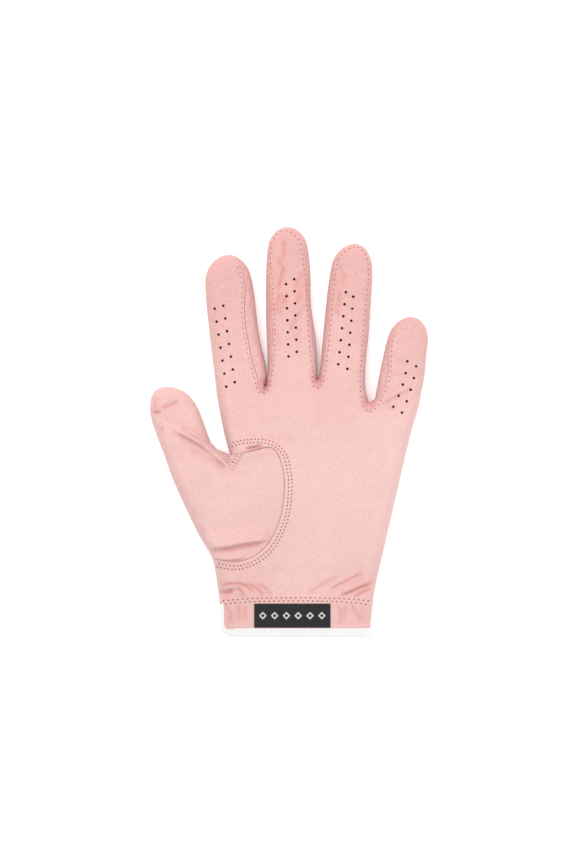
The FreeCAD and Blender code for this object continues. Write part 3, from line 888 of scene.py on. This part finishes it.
def name_palm_triangles():
    """The palm's cut edge parts it from the fourchettes, the thumb piece and the patch."""
    spots = palm_sheet.middles
    names, local = stall_of(spots)
    labels = np.array([f"{n}_{segment_of(n, l[1])}_palm" if n else "palm_panel"
                       for n, l in zip(names, local)], dtype=object)
    thumb_ring = np.concatenate([hole_line, AROUND_THUMB])
    labels[(names == "") & inside(spots, thumb_ring)] = "thumb_base_palm"
    labels[(names == "") & inside(spots, np.array([THUMB_CROTCH] + KEYSTONE))] = "keystone_patch"
    for name, seam in seams.items():
        other = CROTCH_SEAMS[name][0]
        gap = inside(spots, np.concatenate([seam, [seam[-1] + (0, 30), seam[0] + (0, 30)]]))
        for finger, side in ((name, "right"), (other, "left")):
            for at in np.flatnonzero(gap & (names == finger)):
                labels[at] = fourchette_name(finger, segment_of(finger, local[at][1]), side)
        labels[gap & (names == "")] = "fourchette_crotches"
    return labels


def name_back_triangles():
    """The back's lapped edges part it from the fourchettes; the thumb piece has its own seam."""
    spots = back_sheet.middles
    labels = np.full(len(spots), "back_panel", dtype=object)
    labels[inside(spots, np.concatenate([back_thumb, AROUND_THUMB]))] = "thumb_base_back"
    labels[slit_open(spots)] = ""
    edges = {(name, side): stalls[name].to_stall(line) for name, side, line in back_laps}
    names, local = stall_of(spots)
    for name in STALLS:
        mine = names == name
        sides = side_of(name, local[mine], edges)
        labels[mine] = [fourchette_name(name, segment_of(name, along), side) if side
                        else f"{name}_{segment_of(name, along)}_back"
                        for along, side in zip(local[mine][:, 1], sides)]
    return labels


def slit_open(points):
    """The corner of the back that the side slit leaves open."""
    edge = np.interp(points[:, 1], [HEM, SLIT_TOP], SLIT_EDGE_X)
    return (points[:, 1] < SLIT_TOP) & (points[:, 0] < edge)


# Materials

# Leather gets deeper in tone from the palm to the fingertips and towards the hem
FINGERS_Y, PALM_Y = 0.066, 0.0
HEM_Y, WRIST_Y = -0.1, -0.068


WHITE = (1.0, 1.0, 1.0, 1.0)
PORES, GRAIN, WRINKLES, LINES = 1300.0, 750.0, 420.0, 700.0     # texture scales of the relief
WRINKLE_TURN = math.radians(-25)
WRINKLE_STRENGTH = (0.12, 0.75)                # on the palm and at the fingers


def linear(colour):
    return tuple(((c / 255 + 0.055) / 1.055) ** 2.4 for c in colour) + (1.0,)


class Finish:
    """A material in the making. A node's input is given a value or another node's output."""

    def __init__(self, name):
        self.material = bpy.data.materials.new(name)
        self.material.use_nodes = True
        self.tree = self.material.node_tree
        self.place = self.add("TexCoord", {}).outputs["Object"]

    def fill(self, node, inputs):
        for key, value in inputs.items():
            if isinstance(value, bpy.types.NodeSocket):
                self.tree.links.new(value, node.inputs[key])
            else:
                node.inputs[key].default_value = value

    def add(self, kind, inputs, **settings):
        node = self.tree.nodes.new("ShaderNode" + kind)
        for key, value in settings.items():
            setattr(node, key, value)
        self.fill(node, inputs)
        return node

    def noise(self, scale, detail=3.0, rough=0.55, place=None):
        place = self.place if place is None else place
        inputs = {"Scale": scale, "Detail": detail, "Roughness": rough, "Vector": place}
        return self.add("TexNoise", inputs).outputs["Fac"]

    def mix(self, factor, first, second, blend="MIX"):
        """Two colours mixed."""
        node = self.add("Mix", {}, data_type="RGBA", blend_type=blend)
        colours = [number for number, socket in enumerate(node.inputs) if socket.type == "RGBA"]
        self.fill(node, {"Factor": factor, colours[0]: first, colours[1]: second})
        return next(output for output in node.outputs if output.type == "RGBA")

    def ramp(self, value, low, high, dark, light):
        """Maps a value between two levels to a colour between dark and light."""
        inputs = {"From Min": low, "From Max": high, "Value": value}
        return self.mix(self.add("MapRange", inputs).outputs["Result"], dark, light)

    def bump(self, height, depth, strength, below=None):
        inputs = {"Distance": depth, "Strength": strength, "Height": height}
        if below is not None:
            inputs["Normal"] = below
        return self.add("Bump", inputs).outputs["Normal"]

    def done(self, tone, relief, rough, **more):
        """The material, with its shader filled in."""
        inputs = {"Base Color": tone, "Normal": relief, "Roughness": rough}
        inputs.update({key.replace("_", " "): value for key, value in more.items()})
        self.fill(self.tree.nodes["Principled BSDF"], inputs)
        return self.material


def leather_tone(skin, along, colour, worn):
    """Patches of two tones, times tints that are (value, where deep, where plain, deep tint); the last
    tint is painted shade in creases and at the feet of the gaps.
    """
    crease = skin.add("Attribute", {}, attribute_name="crease").outputs["Fac"]
    tints = [
        (skin.noise(620.0, 3.0, 0.7), 0.3, 0.62, (0.97, 0.9, 0.9)),
        (along, FINGERS_Y, PALM_Y, (0.98, 0.87, 0.865)),
        (along, HEM_Y, WRIST_Y, (0.99, 0.95, 0.95)),
        (skin.noise(1500.0, 2.0, 0.6), 0.38, 0.62, (0.97, 0.9, 0.89)),
        # painted shade: deeper, redder leather where the mesh's crease attribute marks a crease or the
        # foot of a gap
        (crease, 0.6, -0.2, (0.95, 0.72, 0.71)),
    ]
    tone = skin.ramp(skin.noise(22.0, 4.0), 0.35, 0.68, linear(colour), linear(worn))
    for value, deep_at, plain_at, tint in tints:
        shade = skin.ramp(value, plain_at, deep_at, WHITE, tint + (1.0,))
        tone = skin.mix(1.0, tone, shade, "MULTIPLY")
    return tone


def leather_relief(skin, along, crosswise):
    """Pores, grain and slanted wrinkles, which are stronger towards the fingers."""
    cells = skin.add("TexVoronoi", {"Vector": skin.place}, feature="DISTANCE_TO_EDGE")
    cells.inputs["Scale"].default_value = PORES
    relief = skin.bump(cells.outputs["Distance"], 0.0001, 0.5)
    relief = skin.bump(skin.noise(GRAIN, 4.0, 0.62), 0.0004, 0.45, relief)
    turned = {"Vector": skin.place, "Rotation": (0.0, 0.0, WRINKLE_TURN), "Scale": (1.0, 0.3, 1.0)}
    slanted = skin.add("Mapping", turned).outputs["Vector"]
    low, high = WRINKLE_STRENGTH
    span = {"From Min": PALM_Y, "From Max": FINGERS_Y, "To Min": low, "To Max": high, "Value": along}
    strength = skin.add("MapRange", span).outputs["Result"]
    relief = skin.bump(skin.noise(WRINKLES, 3.0, 0.6, slanted), 0.002, strength, relief)
    if crosswise:
        stretch = skin.add("VectorMath", {0: skin.place, 1: (0.18, 1.0, 0.6)}, operation="MULTIPLY")
        lines = skin.noise(LINES, 2.0, place=stretch.outputs[0])
        relief = skin.bump(lines, 0.0007, 0.7, relief)
    return relief


def leather_material(name, colour, worn, crosswise=False, rough=0.55):
    """Smooth sheepskin. Crosswise leather, which the fourchettes are, has fine lines along X."""
    skin = Finish(name)
    along = skin.add("SeparateXYZ", {0: skin.place}).outputs["Y"]
    tone = leather_tone(skin, along, colour, worn)
    return skin.done(tone, leather_relief(skin, along, crosswise), rough, Specular_IOR_Level=0.08)


def fabric_material(name, colour, dark, thread, rough=0.85):
    """Woven tape: crossed rows of threads, thread in metres."""
    cloth = Finish(name)
    inputs = {"Scale": 0.5 / thread, "Distortion": 0.6, "Vector": cloth.place}
    waves = [cloth.add("TexWave", inputs, bands_direction=way).outputs["Fac"] for way in "XY"]
    height = cloth.add("Math", {0: waves[0], 1: waves[1]}, operation="MULTIPLY").outputs[0]
    tone = cloth.ramp(height, 0.0, 0.8, linear(dark), linear(colour))
    return cloth.done(tone, cloth.bump(height, thread * 0.5, 0.6), rough, Sheen_Weight=0.05)


def plain_material(name, colour, rough, grain_scale=900.0):
    """Thread, cut edges and other small things: one tone, broken up by a fine noise."""
    plain = Finish(name)
    speckle = plain.noise(grain_scale)
    tone = plain.ramp(speckle, 0.3, 0.7, linear([0.82 * c for c in colour]), linear(colour))
    return plain.done(tone, plain.bump(speckle, 0.0001, 0.5), rough)


SKIN = leather_material("glove_leather", (206, 178, 174), (212, 186, 182))
BACK = leather_material("back_leather", (204, 171, 167), (210, 179, 175))
FOURCHETTE = leather_material("fourchette_leather", (208, 176, 174), (213, 184, 182), True, 0.62)
FLESH = leather_material("flesh_side", (194, 166, 160), (204, 180, 174), False, 0.9)
CUT_EDGE = plain_material("cut_edge", (172, 128, 140), 0.8)
# near-black walls of the perforations: painted shade for the dark inside of each hole
HOLE_WALL_SHADE = plain_material("hole_wall_painted_shade", (34, 18, 18), 0.9)
THREAD = plain_material("thread", (230, 178, 172), 0.6, 3000.0)
# needle marks: dark capsules of painted shade where the needle holes are
NEEDLE_SHADE = plain_material("needle_hole_shade", (166, 98, 106), 0.9)
DEEP_NEEDLE_SHADE = plain_material("needle_hole_shade_dark", (150, 84, 92), 0.9)
BINDING = fabric_material("white_tape", (238, 238, 235), (216, 216, 214), 0.00045)
TAPE_THREAD = plain_material("tape_thread", (176, 176, 174), 0.7, 3000.0)
LABEL = fabric_material("label_black", (26, 27, 28), (10, 10, 11), 0.00035)
LABEL_THREAD = fabric_material("label_white", (214, 214, 210), (180, 180, 176), 0.00035)
ELASTIC = fabric_material("elastic", (238, 226, 222), (198, 184, 180), 0.0007)
LOOP = fabric_material("loop_tape", (236, 190, 184), (214, 156, 150), 0.0006)
HOOK = fabric_material("hook_tape", (232, 230, 228), (190, 188, 186), 0.0008)


# Pieces of leather

FOLDED_SIDES = {"index": "outer_fold", "little": "outer_fold"}


def lift_of(label, distance):
    """How far a piece stands above the sheet: lapped leather lies on its neighbour."""
    if label.endswith("_palm") and not label.startswith("thumb") or label == "palm_panel":
        return LAP * lapped(distance)
    if label == "keystone_patch":
        return 0.5 * LAP * lapped(distance)
    if label.endswith("_back") and not label.startswith("thumb") or label == "back_panel":
        return BACK_LAP * lapped(distance)
    return np.zeros(len(distance))


def cut_piece(sheet, chosen, label, up):
    """Points, z, normals and faces of one piece, numbered from zero."""
    faces = sheet.faces[chosen]
    used, compact = np.unique(faces, return_inverse=True)
    faces = compact.reshape(-1, 3)
    lift = lift_of(label, sheet.distance[used])
    z = sheet.z[used] + (lift if up else -np.minimum(lift, sheet.z[used]))
    flat = sheet.flat[used]
    raw = np.array([raw_edges.find((x, y, 0))[2] < 0.4 for x, y in flat]) & (lift > 0) & up
    return flat, z, sheet.normals[used], faces, raw, sheet.crease[used]


def material_of(label):
    if "fourchette" in label:
        return FOURCHETTE
    return BACK if label.endswith("_back") or label == "back_panel" else SKIN


def build_leather():
    """One object for each piece of leather, made of its palm side and back side parts."""
    palm_labels, back_labels = name_palm_triangles(), name_back_triangles()
    pieces = {}
    for label in sorted((set(palm_labels) | set(back_labels)) - {""}):
        points, faces, slots, normals, creases, start = [], [], [], [], [], 0
        for sheet, labels, up in ((palm_sheet, palm_labels, True), (back_sheet, back_labels, False)):
            chosen = labels == label
            if not chosen.any():
                continue
            *shape, crease = cut_piece(sheet, chosen, label, up)
            solid = leather_solid(*shape)
            rim_count = len(solid[0]) - 2 * len(crease)
            creases += [crease, crease, np.zeros(rim_count)]
            points.append(solid[0])
            faces += [tuple(v + start for v in face) for face in solid[1]]
            slots += solid[2]
            normals.append(solid[3])
            start += len(solid[0])
        materials = [material_of(label), FLESH, CUT_EDGE, HOLE_WALL_SHADE]
        pieces[label] = make_mesh("leather_" + label, np.concatenate(points), faces, materials,
                                  slots, np.concatenate(normals))
        # painted shade of creases and gap feet, stored on each point for the leather's material
        depth = pieces[label].data.attributes.new("crease", "FLOAT", "POINT")
        depth.data.foreach_set("value", np.concatenate(creases).astype(np.float32))
    return pieces


def attach(thing, body):
    """Fixes a piece to the hand's body; a piece of a stall only has its transform baked, and the span of
    its bend is worked out but not used.
    """
    if body == "hand":
        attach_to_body(thing, "hand")
        return
    name, segment = body.split("_")
    stall = stalls[name]
    lower = segment == "lower"
    first = LOWER_BEND_START if lower and name != "thumb" else 0.0
    first += 0.0 if lower else stall.bend
    start, end = stall.to_hand([(0, first), (0, first + BEND_LENGTH)])
    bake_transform(thing)


def body_of(label):
    for name in STALLS:
        for segment in ("lower", "upper"):
            if label.startswith(f"{name}_{segment}"):
                return f"{name}_{segment}"
    return "hand"


def hidden_nodes(label):
    """CAD nodes that a piece of leather stands for."""
    name, _, piece = label.partition("_")
    segment = piece.split("_")[0]
    nodes = [label]
    if piece in ("lower_palm", "upper_palm") and name in FOLDED_SIDES:
        nodes.append(f"{name}_{segment}_{FOLDED_SIDES[name]}")
    if piece in ("lower_palm", "upper_palm") and name == "thumb":
        nodes += [f"thumb_{segment}_outer_fold", f"thumb_{segment}_seam_side"]
    nodes += {"palm_panel": ["index_side_fold", "wrist_thumb_side_fold", "little_side_fold"],
              "thumb_base_palm": ["thumb_base_side", "thumb_web_fold"]}.get(label, [])
    return nodes


leather = build_leather()
for label, thing in leather.items():
    attach(thing, body_of(label))
    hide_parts(*hidden_nodes(label))


# Stitches

CAPSULE_SIDES = 6
MARK_REACH = 1.15              # half the length of a needle mark, in its radii
MARK_SINK, THREAD_SINK = 0.3, 0.5      # how deep they lie in the leather, in their radii


def capsule():
    """Stitch of unit length along X and unit radius, flattened where it enters the leather."""
    stations = [(-0.5, 0.25), (-0.42, 0.8), (-0.2, 1.0), (0.2, 1.0), (0.42, 0.8), (0.5, 0.25)]
    points = []
    for along, radius in stations:
        for side in range(CAPSULE_SIDES):
            angle = 2 * math.pi * side / CAPSULE_SIDES
            points.append((along, radius * math.cos(angle), radius * math.sin(angle)))
    faces = []
    for row in range(len(stations) - 1):
        for side in range(CAPSULE_SIDES):
            a = row * CAPSULE_SIDES + side
            b = row * CAPSULE_SIDES + (side + 1) % CAPSULE_SIDES
            faces.append((a, b, b + CAPSULE_SIDES, a + CAPSULE_SIDES))
    faces.append(tuple(range(CAPSULE_SIDES))[::-1])
    faces.append(tuple(range(len(points) - CAPSULE_SIDES, len(points))))
    return np.array(points), faces


CAPSULE_POINTS, CAPSULE_FACES = capsule()


class Stitching:
    """Collects stitches for each body and makes one object of them."""

    def __init__(self):
        self.points, self.faces, self.slots = {}, {}, {}

    def add(self, body, start, end, radius, slot, sink):
        run = end - start
        length = np.linalg.norm(run)
        along = run / length
        side = np.cross((0, 0, 1.0), along)
        side /= np.linalg.norm(side)
        over = np.cross(along, side)
        middle = (start + end) / 2 + (0, 0, -sink * radius)
        shape = (middle + CAPSULE_POINTS[:, :1] * length * along
                 + CAPSULE_POINTS[:, 1:2] * radius * side + CAPSULE_POINTS[:, 2:] * radius * over)
        points = self.points.setdefault(body, [])
        base = len(points) * len(CAPSULE_POINTS)
        points.append(shape)
        self.faces.setdefault(body, []).extend(
            [tuple(v + base for v in face) for face in CAPSULE_FACES])
        self.slots.setdefault(body, []).extend([slot] * len(CAPSULE_FACES))

    def build(self, prefix, materials):
        for body, points in self.points.items():
            thing = make_mesh(f"{prefix}_{body}", np.concatenate(points), self.faces[body],
                              materials, self.slots[body])
            attach(thing, body)


def body_at(point):
    names, local = stall_of(np.array([point]))
    if not names[0]:
        return "hand"
    return f"{names[0]}_{segment_of(names[0], local[0][1])}"


def sew(stitching, line, height, lift, pitch, mark=NEEDLE_RADIUS, slot=1, up=1.0, first=0.5):
    """Runs stitches along a line on the hand, with the mark of the needle between them; each mark is a
    dark capsule of painted shade in the needle hole.
    """
    line = np.asarray(line, float)
    run = lengths_along(line)
    marks = np.arange(first * pitch, run[-1], pitch)

    def at(places):
        flat = points_at(places, run, line)
        z, distance = height(flat)
        return np.column_stack([flat, z + up * lift * lapped(distance)])

    reach = MARK_REACH * mark
    needle = (marks - reach, marks + reach, mark, slot, MARK_SINK)
    thread = (marks[:-1] + reach, marks[1:] - reach, THREAD_RADIUS, 0, THREAD_SINK)
    for starts, ends, radius, material, sink in (needle, thread):
        for before, after in zip(at(starts), at(ends)):
            body = body_at((before + after)[:2] / 2)
            stitching.add(body, before, after, radius, material, sink * up)


# Guide for the two rows round the thumb hole, which stand off its top edge
THUMB_ROWS = [(-28.6, -9.8), (-23.5, -8.4), (-18.5, -7.9), (-13.7, -7.9), (-8.6, -9.2),
              (-4.4, -13.2), (-2.8, -18.6), (-1.7, -29.0), (-4.2, -46.0), (-12.0, -60.3),
              (-24.3, -67.2), (-37.2, -66.2)]
WRIST_ROWS = ((-86.0, 1.7), (-87.6, 2.0))        # y in the middle, and how far the ends curve down


def thumb_rows():
    guide = curve_through(THUMB_ROWS)
    return [offset_line(guide, 2.1), offset_line(guide, 3.8)]


def wrist_rows():
    x = np.linspace(-34.0, 42.5, 60)
    ends = np.abs((x - 4) / 38.5) ** 3
    return [np.stack([x, y - sag * ends], 1) for y, sag in WRIST_ROWS]


def keystone_rows():
    """Two rows inside each leg of the patch."""
    left, foot, right = (np.array(p) for p in KEYSTONE)
    ring_tree = tree_of(ring)
    rows = []
    for inset in (0.9, 2.3):
        for start, end in ((left, foot), (foot, right)):
            row = offset_line(resample([start, end]), inset)
            clear = inside(row, ring) & (edge_distance(row, ring, ring_tree) > 0.8)
            rows.append(row[clear & (np.hypot(*(row - foot).T) > 1.5 * inset)])
    return rows


def sew_palm(stitching):
    for name in CROTCH_SEAMS:
        row = offset_line(seam_path(name, True), -SEAM_INSET)
        sew(stitching, row, palm_height, LAP, FINGER_PITCH)
    for rows, pitch, mark in ((thumb_rows(), THUMB_PITCH, THUMB_MARK),
                              (wrist_rows(), WRIST_PITCH, WRIST_MARK)):
        for row, first in zip(rows, (0.25, 0.75)):
            sew(stitching, row, palm_height, LAP, pitch, mark, 2, first=first)
    for row in keystone_rows():
        sew(stitching, row, palm_height, 0.5 * LAP, KEYSTONE_PITCH, KEYSTONE_MARK, 2)


stitching = Stitching()
sew_palm(stitching)
for name, side, line in back_laps:
    inset = SEAM_INSET if side == "right" else -SEAM_INSET
    sew(stitching, offset_line(line, inset), back_height, BACK_LAP, FINGER_PITCH, up=-1.0)
stitching.build("stitches", [THREAD, NEEDLE_SHADE, DEEP_NEEDLE_SHADE])


# Wrist: label, binding, elastic and closure

LABEL_X, LABEL_Y = (-17.5, 22.0), (-101.5, -89.0)
LABEL_RISE = 0.45
LABEL_EDGE = 0.12              # width of its rounded border
LOZENGES, LOZENGE_MARGIN, LOZENGE_SIZE = 6, 4.5, 2.0
SLIT_TAPE_TOP = -88.6
SLIT_TAPE_WIDTH = 2.0
HEM_TAPE_EXTRA = 2.1           # how much wider the tape is along the hem
BACK_TAPE_WIDTH = 4.1
BACK_TAPE_LEFT = -27.2
TAPE_PITCH, TAPE_MARK = 3.4, 0.17
# Section of the tape: (share of its width in from the leather's edge, height over the leather)
TAPE_SECTION = [(1.0, -0.05), (1.0, 0.28), (0.97, 0.4), (0.9, 0.45), (0.5, 0.52), (0.15, 0.5),
                (0.0, 0.36), (-0.06, 0.1), (-0.08, -0.3), (-0.06, -0.75), (0.0, -0.98),
                (0.15, -1.1), (0.5, -1.12), (0.95, -1.05), (1.0, -0.62)]


def palm_top(points):
    """Height of the lapped palm leather, which the hem is part of, and distance to its side."""
    z, distance = palm_height(points)
    return z + LAP * lapped(distance), distance


def back_bottom(points):
    z, distance = back_height(points)
    return z - np.minimum(BACK_LAP * lapped(distance), z), distance


def tape(name, path, widths, surface, up):
    """Tape folded over the leather's edge along a path that has the leather on its left."""
    inward = left_of(np.gradient(path, axis=0))
    rows = []
    for share, rise in TAPE_SECTION:
        flat = path + inward * (share * widths)[:, None]
        seat = path + inward * (max(share, 0.05) * widths)[:, None]
        z, distance = surface(seat)
        lean = np.clip(1 - distance / BACK_ROUNDING, 0, 1) * (seat[:, 0] > 0)
        flat[:, 0] += rise * lean
        z = np.maximum(z + up * rise * np.sqrt(1 - lean ** 2), 0.02)
        rows.append(np.column_stack([flat, z]))
    points = np.stack(rows, 1)
    stations, section = points.shape[:2]
    faces = []
    for i in range(stations - 1):
        for j in range(section - 1):
            a = i * section + j
            face = (a, a + section, a + section + 1, a + 1)
            faces.append(face if up > 0 else face[::-1])
    thing = make_mesh(name, points.reshape(-1, 3), faces, [BINDING])
    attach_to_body(thing, "hand")
    return thing


def hem_path():
    """The palm's bound edge: down beside the slit, round the corner and along the hem."""
    bound = (ring[:, 1] < SLIT_TAPE_TOP) & (ring[:, 0] < 0) | (ring[:, 1] < HEM + 0.01)
    bound[0] = False
    return resample(np.concatenate([ring[bound], [(HEM_RIGHT, HEM)]]), 0.8)


def build_tapes():
    path = hem_path()
    bottom = smoothstep((path[:, 0] + 35.0) / 9.0)
    widths = SLIT_TAPE_WIDTH + HEM_TAPE_EXTRA * bottom
    palm_tape = tape("binding_palm", path, widths, palm_top, 1.0)
    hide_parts("palm_hem_binding")
    x = np.linspace(BACK_TAPE_LEFT, HEM_RIGHT, 80)
    path = np.stack([x, np.full(len(x), HEM)], 1)
    back_tape = tape("binding_back", path, np.full(len(x), BACK_TAPE_WIDTH), back_bottom, -1.0)
    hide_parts("back_hem_binding")


def build_label():
    """Woven label on the hem, with a row of plain lozenges in place of any mark."""
    x, y = [np.concatenate([[low], np.linspace(low + LABEL_EDGE, high - LABEL_EDGE, count), [high]])
            for (low, high), count in ((LABEL_X, 50), (LABEL_Y, 18))]
    across, along = np.meshgrid(x, y)
    flat = np.stack([across.ravel(), along.ravel()], 1)
    inner = ((flat[:, 0] > x[0]) & (flat[:, 0] < x[-1]) & (flat[:, 1] > y[0]) & (flat[:, 1] < y[-1]))
    z = palm_height(flat)[0] + LAP + np.where(inner, LABEL_RISE, -0.1)
    faces = []
    for row in range(len(y) - 1):
        for column in range(len(x) - 1):
            a = row * len(x) + column
            faces.append((a, a + 1, a + 1 + len(x), a + len(x)))
    label = make_mesh("label", np.column_stack([flat, z]), faces, [LABEL])
    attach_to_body(label, "hand")
    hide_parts("wrist_label")
    marks = woven_marks()
    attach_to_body(marks, "hand")


def woven_marks():
    points, faces = [], []
    middle = sum(LABEL_Y) / 2
    for x in np.linspace(LABEL_X[0] + LOZENGE_MARGIN, LABEL_X[1] - LOZENGE_MARGIN, LOZENGES):
        for size in (LOZENGE_SIZE, 0.5 * LOZENGE_SIZE):
            points += [(x + size * dx, middle + size * dy)
                       for dx, dy in ((1, 0), (0.5, 0.5), (0, 1), (-0.5, 0.5),
                                      (-1, 0), (-0.5, -0.5), (0, -1), (0.5, -0.5))]
        base = len(points) - 16
        faces += [(base + i, base + (i + 1) % 8, base + 8 + (i + 1) % 8, base + 8 + i)
                  for i in range(8)]
    flat = np.array(points)
    z = palm_height(flat)[0] + LAP + LABEL_RISE + 0.06
    return make_mesh("label_weave", np.column_stack([flat, z]), faces, [LABEL_THREAD])


def keep_cad(node, material):
    """A CAD piece whose shape is right keeps it and gets a finish."""
    mesh = frame["nodes"][node].data
    mesh.materials.clear()
    mesh.materials.append(material)


def sew_tapes():
    """Stitches through the binding."""
    rows = Stitching()
    x = np.linspace(-30.5, HEM_RIGHT - 1, 60)
    y = HEM + 2.9 + 0.6 * smoothstep((-22 - x) / 9)
    sew(rows, np.stack([x, y], 1), palm_height, LAP + 0.5, TAPE_PITCH, TAPE_MARK, 1)
    rows.build("stitches_binding", [BINDING, TAPE_THREAD])


build_tapes()
build_label()
sew_tapes()
for node, material in (("wrist_elastic", ELASTIC), ("loop_patch", LOOP), ("hook_patch", HOOK),
                       ("tab_lining", FLESH), ("closure_tab", BACK), ("tab_anchor", BACK)):
    keep_cad(node, material)


# Camera, light and floor

FLOOR_GLOW = 0.18              # a little light from the floor, which opens the narrow gaps
FLOOR_REACH = 2.5
WORLD_LIGHT = 0.95
KEY_LIGHT = ((-0.4, 1.0, 1.1), 0.8, 13.5)      # place, size and power
FILL_LIGHT = ((0.9, -0.4, 1.1), 1.2, 6.0)
VIEW_HEIGHT = 0.4493                           # what the camera sees from top to bottom
CAMERA_Y = -0.0003
LENS, SENSOR = 200.0, 36.0


def soft_light(name, place, size, power):
    data = bpy.data.lights.new(name, "AREA")
    data.shape = "DISK"
    data.size = size
    data.energy = power
    light = bpy.data.objects.new(name, data)
    light.location = place
    light.rotation_euler = (Vector((0, 0, 0)) - Vector(place)).to_track_quat("-Z", "Y").to_euler()
    bpy.context.scene.collection.objects.link(light)


def studio():
    floor_mesh = bpy.data.meshes.new("floor")
    corners = [(x * FLOOR_REACH, y * FLOOR_REACH, 0) for x, y in ((-1, -1), (1, -1), (1, 1), (-1, 1))]
    floor_mesh.from_pydata(corners, [], [(0, 1, 2, 3)])
    floor = bpy.data.objects.new("floor", floor_mesh)
    bpy.context.scene.collection.objects.link(floor)
    white = Finish("floor_white")
    inputs = {"Base Color": WHITE, "Roughness": 1.0, "Specular IOR Level": 0.0,
              "Emission Color": WHITE, "Emission Strength": FLOOR_GLOW}
    white.fill(white.tree.nodes["Principled BSDF"], inputs)
    floor_mesh.materials.append(white.material)
    soft_light("key", *KEY_LIGHT)
    soft_light("fill", *FILL_LIGHT)
    world = bpy.data.worlds.new("studio")
    world.use_nodes = True
    background = world.node_tree.nodes["Background"]
    background.inputs["Color"].default_value = WHITE
    background.inputs["Strength"].default_value = WORLD_LIGHT
    bpy.context.scene.world = world


def camera():
    """Straight above the glove, with the same margins as a catalogue picture."""
    data = bpy.data.cameras.new("camera")
    data.sensor_fit = "VERTICAL"
    data.sensor_height = SENSOR
    data.lens = LENS
    thing = bpy.data.objects.new("camera", data)
    thing.location = (0, CAMERA_Y, VIEW_HEIGHT * LENS / SENSOR)
    bpy.context.scene.collection.objects.link(thing)
    bpy.context.scene.camera = thing


studio()
camera()
bpy.context.scene.view_settings.view_transform = "Standard"
